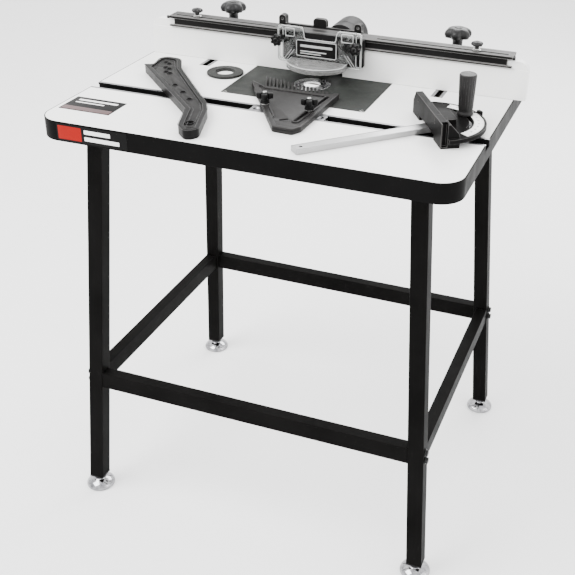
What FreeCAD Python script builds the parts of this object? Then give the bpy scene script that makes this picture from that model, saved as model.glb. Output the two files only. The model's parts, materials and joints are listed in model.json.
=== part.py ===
import FreeCAD, Part
import os
from math import cos, pi, radians, sin, sqrt, tan

os.makedirs("parts", exist_ok=True)
V = FreeCAD.Vector

# Router table on a splayed tube stand, with its fence, guard and loose accessories.
# Millimetres, +Z up, front edge towards -Y. Everything is drawn about the middle of the table
# top; saving moves it so that the origin lies on the floor below the middle of the whole object,
# which is a little to the right because the fence overhangs that end.
MIDDLE_X = 10

# ---- table top ----
TABLE_W = 800
TABLE_D = 640
TABLE_T = 38
TABLE_H = 880
CORNER_R = 45
BAND_T = 2
SKIN_T = 1
UNDER = TABLE_H - TABLE_T

# ---- stand ----
TUBE = 32
TUBE_WALL = 2
TUBE_FOOT_Z = 30
LEG_X = 334
LEG_Y = 257
SPLAY_X = 0.064
SPLAY_Y = 0.069
RAIL_TOP = 307
RAIL_H = 36
RAIL_W = 25
RAIL_WALL = 2
FLANGE = 84
FLANGE_OFFSET = 4
FLANGE_T = 4
FOOT_R = 31
FOOT_H = 24

# ---- mitre track across the table ----
TRACK_Y = -115
TRACK_W = 38
TRACK_DEPTH = 16
TRACK_MOUTH = 25
TRACK_INNER = 29
TRACK_LIP = 4
TRACK_WALL = 3

# ---- fence slots in the table ----
SLOT_X = 254
SLOT_FRONT = 78
SLOT_BACK = 292
SLOT_W = 10
SLOT_END = 8
LINER_W = 24
LINER_DEPTH = 12

# ---- insert plate and rings ----
PLATE_W = 300
PLATE_D = 229
PLATE_T = 6.35
PLATE_Y = 56
PLATE_GAP = 0.5
LEDGE = 14
RING_R = 38
RING_SEAT_R = 38.4
RING_T = 5
RING_BORE_R = 17
MID_BORE_R = 26
RING_STEP = 3
RING_REBATE = 1.6
SPARE_X = -189
SPARE_Y = 46
REST_GAP = 0.3

# ---- fence ----
FENCE_Y = 121
BEAM_LEFT = -352
BEAM_RIGHT = 390
BEAM_TOP = 87
BEAM_DROP = 23
BEAM_GROOVE = 13
BEAM_GROOVE_DEPTH = 3.2
BEAM_NOTCH = 10
FLANGE_Y = 5
BOARD_T = 18
BOARD_L = 380
BOARD_H = 77
BOARD_CORNER_R = 20
BOARD_FACE_H = 60
LEFT_BOARD = -396
RIGHT_BOARD = 42
WEB_T = 6
WALL_T = 4
SMALL_KNOB_X = (-291, 316)
CLAMP_Y = 230
CLAMP_POST_R = 11
CLAMP_POST_H = 78
CLAMP_HEAD_R = 29.5
CLAMP_HEAD_H = 22
ARM_W = 60
ARM_T = 8

# ---- chip housing and guard ----
HOUSING_L = -113
HOUSING_R = 71
HOUSING_TOP = 90
HOUSING_D = 45
HOUSING_FALL = 22
HOUSING_WALL = 3
PORT_X = 22
PORT_Z = 61
PORT_R = 36
PORT_WALL = 2.5
PORT_NECK_R = 35.5
PORT_FRONT = 162
PORT_L = 46
GUARD_X = -3
GUARD_W = 183
GUARD_T = 4
GUARD_Y = 103
GUARD_LOW = 25
GUARD_HIGH = 100
GUARD_STUD_X = 84
GUARD_STUD_Z = 74


def box(x0, x1, y0, y1, z0, z1):
    return Part.makeBox(x1 - x0, y1 - y0, z1 - z0, V(x0, y0, z0))


def rod(x, y, z0, z1, r):
    return Part.makeCylinder(r, z1 - z0, V(x, y, z0))


def rod_along(p, axis, length, r):
    return Part.makeCylinder(r, length, V(*p), V(*axis))


def cone(x, y, z0, z1, r0, r1):
    return Part.makeCone(r0, r1, z1 - z0, V(x, y, z0))


def union(*solids):
    out = solids[0]
    for s in solids[1:]:
        out = out.fuse(s)
    return out.removeSplitter()


def rounded_wire(points, radii, z=0.0):
    """A closed outline through the points, each corner rounded by its radius."""
    n = len(points)
    edges = []
    cuts = []
    for i in range(n):
        p = V(points[i][0], points[i][1], z)
        a = V(points[i - 1][0], points[i - 1][1], z)
        b = V(points[(i + 1) % n][0], points[(i + 1) % n][1], z)
        u = (a - p).normalize()
        w = (b - p).normalize()
        r = radii[i] if isinstance(radii, (list, tuple)) else radii
        if r <= 0:
            cuts.append((p, None, p))
            continue
        half = u.getAngle(w) / 2
        back = r / tan(half)
        middle = (u + w).normalize()
        centre = p + middle * (r / sin(half))
        cuts.append((p + u * back, centre - middle * r, p + w * back))
    for i in range(n):
        start, mid, end = cuts[i]
        if mid is not None:
            edges.append(Part.Arc(start, mid, end).toShape())
        follow = cuts[(i + 1) % n][0]
        if (follow - end).Length > 1e-6:
            edges.append(Part.makeLine(end, follow))
    return Part.Wire(edges)


def plate(points, radii, z0, z1):
    face = Part.Face(rounded_wire(points, radii, z0))
    return face.extrude(V(0, 0, z1 - z0))


def rect(x0, x1, y0, y1):
    return [(x0, y0), (x1, y0), (x1, y1), (x0, y1)]


def slab(x0, x1, y0, y1, r, z0, z1):
    return plate(rect(x0, x1, y0, y1), r, z0, z1)


def along_x(profile, x0, x1):
    """A profile drawn in Y and Z, run from x0 to x1."""
    pts = [V(x0, y, z) for y, z in profile]
    wire = Part.makePolygon(pts + [pts[0]])
    return Part.Face(wire).extrude(V(x1 - x0, 0, 0))


def along_y(face_points, radii, y0, y1):
    """An outline drawn in X and Z, run from y0 to y1."""
    wire = rounded_wire(face_points, radii, 0)
    face = Part.Face(wire)
    solid = face.extrude(V(0, 0, y1 - y0))
    solid.rotate(V(0, 0, 0), V(1, 0, 0), 90)
    solid.translate(V(0, y1, 0))
    return solid


def turned(solid, angle, centre, axis=(0, 0, 1)):
    out = solid.copy()
    out.rotate(V(*centre), V(*axis), angle)
    return out


def revolve(profile, centre, axis=(0, 0, 1)):
    """A profile of (radius, height) pairs turned about the axis at the centre."""
    pts = [V(r, 0, h) for r, h in profile]
    face = Part.Face(Part.makePolygon(pts + [pts[0]]))
    solid = face.revolve(V(0, 0, 0), V(0, 0, 1), 360)
    solid.Placement = FreeCAD.Placement(V(*centre), FreeCAD.Rotation(V(0, 0, 1), V(*axis)))
    return solid


def lobed(radius, lobes, depth, height):
    """A grip with scalloped sides, standing on Z = 0 round the origin."""
    body = Part.makeCylinder(radius, height)
    scoop_r = radius * pi / lobes * 0.62
    for i in range(lobes):
        a = 2 * pi * i / lobes
        d = radius + scoop_r - depth
        body = body.cut(Part.makeCylinder(scoop_r, height, V(d * cos(a), d * sin(a), 0)))
    return body


def place(solid, p, axis):
    out = solid.copy()
    out.Placement = FreeCAD.Placement(V(*p), FreeCAD.Rotation(V(0, 0, 1), V(*axis)))
    return out


def hexagon(p, axis, across, height):
    r = across / sqrt(3)
    pts = [V(r * cos(pi / 3 * i), r * sin(pi / 3 * i), 0) for i in range(7)]
    return place(Part.Face(Part.makePolygon(pts)).extrude(V(0, 0, height)), p, axis)


def save(name, shape):
    out = shape.copy()
    out.translate(V(-MIDDLE_X, 0, 0))
    out.exportStep("parts/%s.step" % name)


def group(*solids):
    return Part.makeCompound(list(solids))


# ================= table top =================
HALF_W = TABLE_W / 2
HALF_D = TABLE_D / 2
outer = slab(-HALF_W, HALF_W, -HALF_D, HALF_D, CORNER_R, UNDER, TABLE_H)
in_w = HALF_W - BAND_T
in_d = HALF_D - BAND_T
inner = slab(-in_w, in_w, -in_d, in_d, CORNER_R - BAND_T, UNDER, TABLE_H)
band = outer.cut(inner)

track_y0 = TRACK_Y - TRACK_W / 2
track_y1 = TRACK_Y + TRACK_W / 2
track_cut = box(-HALF_W, HALF_W, track_y0, track_y1, TABLE_H - TRACK_DEPTH, TABLE_H)

plate_x0 = -PLATE_W / 2
plate_y0 = PLATE_Y - PLATE_D / 2
plate_y1 = PLATE_Y + PLATE_D / 2
seat_cut = slab(
    plate_x0 - PLATE_GAP, -plate_x0 + PLATE_GAP, plate_y0 - PLATE_GAP, plate_y1 + PLATE_GAP,
    4, TABLE_H - PLATE_T, TABLE_H,
)
hole_cut = slab(
    plate_x0 + LEDGE, -plate_x0 - LEDGE, plate_y0 + LEDGE, plate_y1 - LEDGE,
    12, UNDER, TABLE_H,
)


def fence_slot(sx, z0, z1):
    """The round-ended slot that a clamp bolt passes down through."""
    half = SLOT_W / 2
    return slab(sx - half, sx + half, SLOT_FRONT + SLOT_END, SLOT_BACK - SLOT_END, half - 0.1, z0, z1)


fence_slot_cuts = []
for sx in (-SLOT_X, SLOT_X):
    half = LINER_W / 2
    fence_slot_cuts.append(box(sx - half, sx + half, SLOT_FRONT, SLOT_BACK, TABLE_H - LINER_DEPTH, TABLE_H))
    fence_slot_cuts.append(fence_slot(sx, UNDER, TABLE_H))

screw_y = (plate_y0 + 7, plate_y1 - 7)
screw_x = (plate_x0 + 7, 0, -plate_x0 - 7)
screw_at = [(x, y) for x in screw_x for y in screw_y]

panel = inner.cut(track_cut).cut(seat_cut).cut(hole_cut)
for cut in fence_slot_cuts:
    panel = panel.cut(cut)
core = panel.common(box(-HALF_W, HALF_W, -HALF_D, HALF_D, UNDER + SKIN_T, TABLE_H - SKIN_T))
for x, y in screw_at:
    core = core.cut(rod(x, y, TABLE_H - 24, TABLE_H, 1.9))
top_skin = panel.common(box(-HALF_W, HALF_W, -HALF_D, HALF_D, TABLE_H - SKIN_T, TABLE_H))
under_skin = panel.common(box(-HALF_W, HALF_W, -HALF_D, HALF_D, UNDER, UNDER + SKIN_T))

# ---- mitre track: a floor strip with screws in it, and two lipped side rails ----
track_floor = TABLE_H - TRACK_DEPTH + TRACK_WALL
track = box(-HALF_W, HALF_W, track_y0, track_y1, TABLE_H - TRACK_DEPTH, track_floor)
track_rails = []
for side in (-1, 1):
    edge = TRACK_Y + side * TRACK_W / 2
    mouth = TRACK_Y + side * TRACK_MOUTH / 2
    room = TRACK_Y + side * TRACK_INNER / 2
    track_rails.append(along_x([
        (edge, track_floor), (room, track_floor), (room, TABLE_H - TRACK_LIP),
        (mouth, TABLE_H - TRACK_LIP), (mouth, TABLE_H), (edge, TABLE_H),
    ], -HALF_W, HALF_W))
track_screws = []
TRACK_SCREWS = 6
for i in range(TRACK_SCREWS):
    x = -HALF_W + TABLE_W * (i + 0.5) / TRACK_SCREWS
    track = track.cut(rod(x, TRACK_Y, TABLE_H - TRACK_DEPTH, track_floor, 2.3))
    track = track.cut(cone(x, TRACK_Y, track_floor - 2, track_floor, 2.3, 4.3))
    core = core.cut(rod(x, TRACK_Y, TABLE_H - 34, TABLE_H, 2.0))
    head = cone(x, TRACK_Y, track_floor - 1.9, track_floor - 0.1, 2.2, 4.0)
    shank = rod(x, TRACK_Y, TABLE_H - 32, track_floor - 1.9, 2.0)
    cross = union(
        box(x - 2, x + 2, TRACK_Y - 0.4, TRACK_Y + 0.4, track_floor - 0.9, track_floor),
        box(x - 0.4, x + 0.4, TRACK_Y - 2, TRACK_Y + 2, track_floor - 0.9, track_floor),
    )
    track_screws.append(union(head, shank).cut(cross))
band = band.cut(track_cut)

# ---- fence slot liners: lipped channels let into the table ----
liners = []
liner_screws = []
for sx in (-SLOT_X, SLOT_X):
    half = LINER_W / 2
    z0 = TABLE_H - LINER_DEPTH
    bar = box(sx - half, sx + half, SLOT_FRONT, SLOT_BACK, z0, TABLE_H)
    bar = bar.cut(box(sx - 5.5, sx + 5.5, SLOT_FRONT, SLOT_BACK, z0 + 2.5, TABLE_H))
    bar = bar.cut(box(sx - 9, sx + 9, SLOT_FRONT, SLOT_BACK, z0 + 2.5, TABLE_H - 3))
    bar = bar.cut(fence_slot(sx, z0, TABLE_H))
    for y in (SLOT_FRONT + 4, SLOT_BACK - 4):
        bar = bar.cut(rod(sx, y, z0, z0 + 2.5, 1.6))
        core = core.cut(rod(sx, y, z0 - 16, z0, 1.5))
        liner_screws.append(union(rod(sx, y, z0 - 14, z0 + 2.5, 1.5), rod(sx, y, z0 + 2.5, z0 + 4.3, 3)))
    liners.append(bar)

# ---- insert plate with a stepped ring seat ----
RING_SEAT_Z = TABLE_H - RING_T - REST_GAP
insert_plate = slab(plate_x0, -plate_x0, plate_y0, plate_y1, 3.5, TABLE_H - PLATE_T, TABLE_H)
insert_plate = insert_plate.cut(rod(0, PLATE_Y, RING_SEAT_Z, TABLE_H, RING_SEAT_R))
insert_plate = insert_plate.cut(rod(0, PLATE_Y, TABLE_H - PLATE_T, TABLE_H, RING_R - 5))
ROUTER_BOLT_R = 58
router_holes = []
for i in range(3):
    a = radians(90 + 120 * i)
    router_holes.append((ROUTER_BOLT_R * cos(a), PLATE_Y + ROUTER_BOLT_R * sin(a)))
for x, y in router_holes:
    insert_plate = insert_plate.cut(rod(x, y, TABLE_H - PLATE_T, TABLE_H, 3.25))
    insert_plate = insert_plate.cut(cone(x, y, TABLE_H - 3.2, TABLE_H, 3.25, 6.4))
plate_screws = []
for x, y in screw_at:
    insert_plate = insert_plate.cut(rod(x, y, TABLE_H - PLATE_T, TABLE_H, 2.2))
    insert_plate = insert_plate.cut(cone(x, y, TABLE_H - 2.6, TABLE_H, 2.2, 4.4))
    head = cone(x, y, TABLE_H - 2.5, TABLE_H - 0.2, 2.0, 4.1)
    screw = union(head, rod(x, y, TABLE_H - 22, TABLE_H - 2.5, 1.9))
    socket = hexagon((x, y, TABLE_H - 1.9), (0, 0, 1), 2.5, 2)
    plate_screws.append(screw.cut(socket))


def stepped_ring(x, y, z, bore):
    """A flat ring with a chamfered rim, two finger notches and a stepped bore."""
    profile = [
        (bore, 0), (RING_R - 1, 0), (RING_R, 1), (RING_R, RING_T - 0.8), (RING_R - 0.8, RING_T),
        (bore + RING_STEP, RING_T), (bore + RING_STEP, RING_T - RING_REBATE), (bore, RING_T - RING_REBATE),
    ]
    ring = revolve(profile, (x, y, z))
    for side in (-1, 1):
        ring = ring.cut(rod(x + side * (RING_R - 7), y, z + RING_T - 2.5, z + RING_T, 2.4))
    return ring


fitted_ring = stepped_ring(0, PLATE_Y, TABLE_H - RING_T, MID_BORE_R)
lip_r = MID_BORE_R + RING_STEP - 0.4
neck_r = MID_BORE_R - 0.4
lip_z = RING_T - RING_REBATE
inner_ring = revolve([
    (RING_BORE_R, 0.5), (neck_r, 0.5), (neck_r, lip_z),
    (lip_r, lip_z), (lip_r, RING_T), (RING_BORE_R, RING_T),
], (0, PLATE_Y, TABLE_H - RING_T))
spare_ring = stepped_ring(SPARE_X, SPARE_Y, TABLE_H + REST_GAP, RING_BORE_R)

# ---- generic badges ----
top_badge = slab(-390, -282, -258, -190, 1, TABLE_H, TABLE_H + 0.4)
top_badge_stripe = slab(-386, -286, -255, -238, 0.5, TABLE_H + 0.4, TABLE_H + 0.6)
front_badge = box(-354, -208, -HALF_D - 0.5, -HALF_D, UNDER + 3, TABLE_H - 3)
front_badge_block = box(-351, -302, -HALF_D - 0.8, -HALF_D - 0.5, UNDER + 6, TABLE_H - 6)

save("laminate_top", top_skin)
save("edge_band", band)
save("mitre_track", group(track, *track_rails))
save("slot_liners", group(*liners))
save("insert_plate", insert_plate)
save("table_screws", group(*track_screws, *liner_screws, *plate_screws))
save("insert_ring", fitted_ring)
save("inner_ring", inner_ring)
save("spare_ring", spare_ring)
save("top_badge", union(top_badge, top_badge_stripe))
save("front_badge", union(front_badge, front_badge_block))

# ================= stand =================


def leg_prism(sx, sy, inset):
    """A square prism that leans outwards from the table to the floor."""
    squares = []
    for z in (TUBE_FOOT_Z, UNDER - FLANGE_T):
        drop = UNDER - z
        ox = LEG_X + SPLAY_X * drop - inset
        oy = LEG_Y + SPLAY_Y * drop - inset
        size = TUBE - 2 * inset
        pts = [(ox, oy), (ox - size, oy), (ox - size, oy - size), (ox, oy - size)]
        pts = [V(sx * x, sy * y, z) for x, y in pts]
        squares.append(Part.makePolygon(pts + [pts[0]]))
    return Part.makeLoft(squares, True, True)


def at_height(z):
    drop = UNDER - z
    return LEG_X + SPLAY_X * drop, LEG_Y + SPLAY_Y * drop


corners = {"front_left": (-1, -1), "front_right": (1, -1), "back_left": (-1, 1), "back_right": (1, 1)}
prisms = {name: leg_prism(sx, sy, 0) for name, (sx, sy) in corners.items()}
rail_mid = RAIL_TOP - RAIL_H / 2
rail_ox, rail_oy = at_height(rail_mid)


def hollow_rail(x0, x1, y0, y1):
    out = box(x0, x1, y0, y1, RAIL_TOP - RAIL_H, RAIL_TOP)
    w = RAIL_WALL
    if x1 - x0 > y1 - y0:
        cave = box(x0, x1, y0 + w, y1 - w, RAIL_TOP - RAIL_H + w, RAIL_TOP - w)
    else:
        cave = box(x0 + w, x1 - w, y0, y1, RAIL_TOP - RAIL_H + w, RAIL_TOP - w)
    out = out.cut(cave)
    for p in prisms.values():
        out = out.cut(p)
    return out


reach_x = rail_ox - TUBE / 2
reach_y = rail_oy - TUBE / 2
EDGE = 1.3
rails = {
    "rail_front": hollow_rail(-reach_x, reach_x, -rail_oy + EDGE, -rail_oy + EDGE + RAIL_W),
    "rail_back": hollow_rail(-reach_x, reach_x, rail_oy - EDGE - RAIL_W, rail_oy - EDGE),
    "rail_left": hollow_rail(-rail_ox + EDGE, -rail_ox + EDGE + RAIL_W, -reach_y, reach_y),
    "rail_right": hollow_rail(rail_ox - EDGE - RAIL_W, rail_ox - EDGE, -reach_y, reach_y),
}

bolts = []
nuts = []
flange_screws = []
plugs = []
legs = {}
BOLT_Z = (RAIL_TOP - 9, RAIL_TOP - 27)
for name, (sx, sy) in corners.items():
    leg = prisms[name].cut(leg_prism(sx, sy, TUBE_WALL))
    rail_y = sy * (rail_oy - EDGE - RAIL_W / 2)
    for z in BOLT_Z:
        ox, oy = at_height(z)
        leg = leg.cut(rod_along((sx * (ox - TUBE - 4), rail_y, z), (sx, 0, 0), TUBE + 8, 3.2))
        head_x = sx * (ox + 0.4)
        washer = rod_along((head_x, rail_y, z), (sx, 0, 0), 1.4, 8)
        dome = rod_along((head_x + sx * 1.4, rail_y, z), (sx, 0, 0), 4.5, 6).cut(
            hexagon((head_x + sx * 3.2, rail_y, z), (sx, 0, 0), 4, 3)
        )
        shank = rod_along((sx * (ox - TUBE - 14), rail_y, z), (sx, 0, 0), TUBE + 14.4, 3)
        bolts.append(union(washer, dome, shank))
    nut_x = at_height(rail_mid)[0] - TUBE - 10
    block = box(-3, 3, -RAIL_W / 2 + RAIL_WALL + 0.1, RAIL_W / 2 - RAIL_WALL - 0.1, -15, 15)
    block.translate(V(sx * nut_x, rail_y, rail_mid))
    for z in BOLT_Z:
        block = block.cut(rod_along((sx * (nut_x - 5), rail_y, z), (sx, 0, 0), 10, 3))
    nuts.append(block)

    top_x, top_y = at_height(UNDER)
    fx = sx * (top_x - TUBE / 2 - FLANGE_OFFSET)
    fy = sy * (top_y - TUBE / 2 - FLANGE_OFFSET)
    fh = FLANGE / 2
    flange = slab(fx - fh, fx + fh, fy - fh, fy + fh, 8, UNDER - FLANGE_T, UNDER)
    for dx, dy in ((1, -1), (-1, 1), (-1, -1), (1, 1)):
        px = fx + dx * (fh - 10)
        py = fy + dy * (fh - 10)
        flange = flange.cut(rod(px, py, UNDER - FLANGE_T, UNDER, 2.7))
        pan = rod(px, py, UNDER - FLANGE_T - 2.6, UNDER - FLANGE_T, 5.2)
        flange_screws.append(union(pan, rod(px, py, UNDER - FLANGE_T, UNDER + 20, 2.5)))
        core = core.cut(rod(px, py, UNDER, UNDER + 20, 2.5))
    legs[name] = union(leg, flange)

    bx, by = at_height(TUBE_FOOT_Z)
    cx = sx * (bx - TUBE / 2)
    cy = sy * (by - TUBE / 2)
    lid = box(cx - TUBE / 2, cx + TUBE / 2, cy - TUBE / 2, cy + TUBE / 2, TUBE_FOOT_Z - 3, TUBE_FOOT_Z)
    body = leg_prism(sx, sy, TUBE_WALL + 0.1).common(
        box(cx - 40, cx + 40, cy - 40, cy + 40, TUBE_FOOT_Z, TUBE_FOOT_Z + 22)
    )
    plug = union(lid, body).cut(rod(cx, cy, TUBE_FOOT_Z - 3, TUBE_FOOT_Z + 24, 5.05))
    plugs.append(plug)
    profile = [
        (0, 0), (FOOT_R - 2, 0), (FOOT_R, 2), (FOOT_R, 5), (FOOT_R - 2, 9), (FOOT_R - 7, 14),
        (FOOT_R - 14, 18.5), (11, 20.5), (11, FOOT_H), (5, FOOT_H), (5, 48), (0, 48),
    ]
    save("foot_" + name, revolve(profile, (cx, cy, 0)))

for s in flange_screws:
    under_skin = under_skin.cut(s)
# the core is two boards glued together, and the track goes right through the upper one
glue_z = TABLE_H - TRACK_DEPTH
lower_board = core.common(box(-HALF_W, HALF_W, -HALF_D, HALF_D, UNDER, glue_z))
upper_board = core.common(box(-HALF_W, HALF_W, -HALF_D, HALF_D, glue_z, TABLE_H))
save("table_core", group(*lower_board.Solids, *upper_board.Solids))
save("laminate_underside", under_skin)
for name, leg in legs.items():
    save("leg_" + name, leg)
for name, rail in rails.items():
    save(name, rail)
save("stand_bolts", group(*bolts, *flange_screws, *nuts))
save("leg_plugs", group(*plugs))

# ================= fence =================
T = TABLE_H
BOARD_GAP = 0.4
BOARD_Y0 = FENCE_Y
BOARD_Y1 = FENCE_Y + BOARD_T
SLIDE_GAP = 0.4
STUD_Y = FENCE_Y + BOARD_T / 2
WEB_Y = BOARD_Y1 + SLIDE_GAP
WEB_Y1 = WEB_Y + WEB_T
lip_y0 = FENCE_Y - FLANGE_Y - SLIDE_GAP
lip_y1 = FENCE_Y - SLIDE_GAP
under_roof = T + BEAM_TOP - WALL_T

# inverted channel over the boards, with a groove along its face and two along its roof
beam = box(BEAM_LEFT, BEAM_RIGHT, lip_y0, WEB_Y1, under_roof, T + BEAM_TOP)
beam = beam.fuse(box(BEAM_LEFT, BEAM_RIGHT, lip_y0, lip_y1, T + BEAM_TOP - BEAM_DROP, under_roof))
beam = beam.fuse(box(BEAM_LEFT, BEAM_RIGHT, WEB_Y, WEB_Y1, T + 1, under_roof))
beam = beam.fuse(box(BEAM_LEFT, BEAM_RIGHT, WEB_Y1, WEB_Y1 + 8, T + BEAM_TOP - 14, T + BEAM_TOP))
beam = beam.removeSplitter()
groove_z0 = T + BEAM_TOP - BEAM_DROP / 2 - BEAM_GROOVE / 2 - 1
groove_z1 = groove_z0 + BEAM_GROOVE
beam = beam.cut(box(BEAM_LEFT, BEAM_RIGHT, lip_y0, lip_y0 + BEAM_GROOVE_DEPTH, groove_z0, groove_z1))
for x0, x1 in ((BEAM_LEFT, BEAM_LEFT + BEAM_NOTCH), (BEAM_RIGHT - BEAM_NOTCH, BEAM_RIGHT)):
    beam = beam.cut(box(x0, x1, lip_y0, lip_y1, groove_z0, groove_z1))
for gy in (lip_y0 + 6, WEB_Y1 - 2):
    beam = beam.cut(box(BEAM_LEFT, BEAM_RIGHT, gy - 1, gy + 1, T + BEAM_TOP - 1.2, T + BEAM_TOP))
beam = beam.cut(box(BEAM_LEFT, BEAM_RIGHT, WEB_Y1 + 3, WEB_Y1 + 8, T + BEAM_TOP - 9, T + BEAM_TOP - 5))
STUD_SLOT = 6.8
SLOT_ENDS = 10
for x0, x1 in ((BEAM_LEFT + SLOT_ENDS, -110), (110, BEAM_RIGHT - SLOT_ENDS)):
    half = STUD_SLOT / 2
    beam = beam.cut(slab(x0, x1, STUD_Y - half, STUD_Y + half, half - 0.1, under_roof, T + BEAM_TOP))
window = box(-44, 52, WEB_Y, WEB_Y1, T + 4, T + 68)
beam = beam.cut(window)

# arms that carry the fence back to the clamps
arms = []
arm_bolts = []
clamp_bolts = []
ARM_BACK = CLAMP_Y + 30
ARM_SIDE_H = 46
ARM_Z = T + REST_GAP
for sx in (-SLOT_X, SLOT_X):
    foot = slab(sx - ARM_W / 2, sx + ARM_W / 2, WEB_Y1, ARM_BACK, 4, ARM_Z, ARM_Z + ARM_T)
    wall = box(sx - ARM_W / 2, sx + ARM_W / 2, WEB_Y1, WEB_Y1 + ARM_T, ARM_Z, ARM_Z + ARM_SIDE_H)
    rib_y = WEB_Y1 + ARM_T
    rib_z = ARM_Z + ARM_T
    rib = along_x([(rib_y, rib_z), (rib_y + 34, rib_z), (rib_y, ARM_Z + ARM_SIDE_H)], sx - 3, sx + 3)
    arm = union(foot, wall, rib)
    arm = arm.cut(rod(sx, CLAMP_Y, ARM_Z, ARM_Z + ARM_T, 4.3))
    for dx in (-20, 20):
        bz = ARM_Z + 30
        arm = arm.cut(rod_along((sx + dx, WEB_Y1, bz), (0, 1, 0), ARM_T, 3))
        beam = beam.cut(rod_along((sx + dx, WEB_Y, bz), (0, 1, 0), WEB_T, 2.5))
        bolt = union(
            rod_along((sx + dx, WEB_Y + 0.2, bz), (0, 1, 0), WEB_T + ARM_T - 0.2, 2.5),
            rod_along((sx + dx, WEB_Y1 + ARM_T, bz), (0, 1, 0), 3.2, 5),
        )
        arm_bolts.append(bolt.cut(hexagon((sx + dx, WEB_Y1 + ARM_T + 1.4, bz), (0, 1, 0), 4, 2)))
    arms.append(arm)
    pad_z1 = UNDER - 0.4
    pad_z0 = pad_z1 - 5
    clamp_pad = slab(sx - 13, sx + 13, CLAMP_Y - 22, CLAMP_Y + 22, 4, pad_z0, pad_z1)
    shank = rod(sx, CLAMP_Y, pad_z0, ARM_Z + ARM_T + 40, 4)
    head = rod(sx, CLAMP_Y, pad_z0 - 4, pad_z0, 9)
    clamp_bolts.append(union(clamp_pad, shank, head))

END_SCREW_R = 1.5
end_screw_y = lip_y0 + FLANGE_Y / 2
end_screw_z = T + BEAM_TOP - WALL_T
end_screws = []
for x, d in ((BEAM_LEFT, -1), (BEAM_RIGHT, 1)):
    beam = beam.cut(rod_along((x - d * 9, end_screw_y, end_screw_z), (d, 0, 0), 9, END_SCREW_R))
    shank = rod_along((x - d * 8, end_screw_y, end_screw_z), (d, 0, 0), 8, END_SCREW_R)
    head = rod_along((x, end_screw_y, end_screw_z), (d, 0, 0), 5, 3.4)
    end_screws.append(union(shank, head))


def clamp_knob(x, y, z, post_r, post_h, head_r, head_h, lobes, bore):
    """A hub with a domed, scalloped head, hollow for its bolt."""
    post = union(rod(0, 0, 0, post_h, post_r), cone(0, 0, post_h - 6, post_h, post_r, post_r + 4))
    grip = lobed(head_r, lobes, head_r * 0.16, head_h)
    dome_r = head_r * 1.5
    dome = Part.makeSphere(dome_r, V(0, 0, head_h - dome_r))
    grip = grip.common(dome)
    grip.translate(V(0, 0, post_h))
    ring = rod(0, 0, post_h + head_h - 3, post_h + head_h, head_r * 0.4)
    ring = ring.cut(rod(0, 0, post_h + head_h - 3, post_h + head_h, head_r * 0.3))
    knob = union(post, grip.cut(ring))
    knob = knob.cut(rod(0, 0, 0, bore[1], bore[0]))
    knob.translate(V(x, y, z))
    return knob


base_z = ARM_Z + ARM_T
KNOB_LIFT = 0.4
for side, sx in (("left", -SLOT_X), ("right", SLOT_X)):
    post_h = CLAMP_POST_H - ARM_T
    knob = clamp_knob(
        sx, CLAMP_Y, base_z + KNOB_LIFT, CLAMP_POST_R, post_h, CLAMP_HEAD_R, CLAMP_HEAD_H, 6, (4.05, 42)
    )
    save("clamp_knob_" + side, knob)

# boards, each clamped by a knob whose stud passes through the slot in the roof
STUD_R = 3
STUD_DEPTH = 25
BEVEL = 12
roof = T + BEAM_TOP
for side, x0, kx in (("left", LEFT_BOARD, SMALL_KNOB_X[0]), ("right", RIGHT_BOARD, SMALL_KNOB_X[1])):
    x1 = x0 + BOARD_L
    corners_r = [0, 0, 0, BOARD_CORNER_R] if side == "left" else [0, 0, BOARD_CORNER_R, 0]
    face_points = [(x0, T + BOARD_GAP), (x1, T + BOARD_GAP), (x1, T + BOARD_H), (x0, T + BOARD_H)]
    board = along_y(face_points, corners_r, BOARD_Y0, BOARD_Y1)
    tall = BOARD_FACE_H + 0.6
    board = board.cut(box(x0, x1, BOARD_Y0, BOARD_Y0 + 1.5, T + tall, T + BOARD_H))
    bevel_x = x1 if side == "left" else x0
    d = -1 if side == "left" else 1
    corner = Part.makePolygon([
        V(bevel_x, BOARD_Y1, T), V(bevel_x, BOARD_Y1 - BEVEL, T),
        V(bevel_x + d * BEVEL, BOARD_Y1, T), V(bevel_x, BOARD_Y1, T),
    ])
    board = board.cut(Part.Face(corner).extrude(V(0, 0, BOARD_H)))
    board = board.cut(rod(kx, STUD_Y, T + BOARD_H - STUD_DEPTH, T + BOARD_H, STUD_R + 0.05))
    stud = rod(kx, STUD_Y, T + BOARD_H - STUD_DEPTH + 1, roof + 6, STUD_R)
    grip = clamp_knob(kx, STUD_Y, roof + KNOB_LIFT, 5.5, 9, 12.5, 9, 5, (0.5, 0.5))
    grip = grip.fuse(rod(kx, STUD_Y, roof + KNOB_LIFT, roof + KNOB_LIFT + 3, 8.5))
    save("board_" + side, board)
    save("board_knob_" + side, union(stud, grip))

# ---- chip housing behind the fence, its roof falling to the back ----
house_y0 = WEB_Y1
house_y1 = house_y0 + HOUSING_D
hw = HOUSING_WALL
step_y = WEB_Y1 + 8
step_z = T + BEAM_TOP - 14
ridge_y = step_y + 6
house_top = T + HOUSING_TOP
housing = along_x([
    (house_y0, T + 1), (house_y1, T + 1), (house_y1, house_top - HOUSING_FALL),
    (ridge_y, house_top), (step_y, house_top), (step_y, step_z), (house_y0, step_z),
], HOUSING_L, HOUSING_R)
EAR_DEPTH = 16
EAR_HOLE_R = 2.6
EARS = ((-105, 8, 106, EAR_DEPTH), (-21, 15, 106, 10), (62, 8, 104, EAR_DEPTH))
ear_low = house_top - 12
for ear_x, half, ear_top, depth in EARS:
    ear_points = [
        (ear_x - half, ear_low), (ear_x + half, ear_low),
        (ear_x + half, T + ear_top), (ear_x - half, T + ear_top),
    ]
    ear = along_y(ear_points, [0, 0, 7, 7], step_y, step_y + depth)
    housing = housing.fuse(ear)
lug_z0 = T + 22
lug_z1 = T + 50
LUG_W = 14
LUG_T = 4
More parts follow.
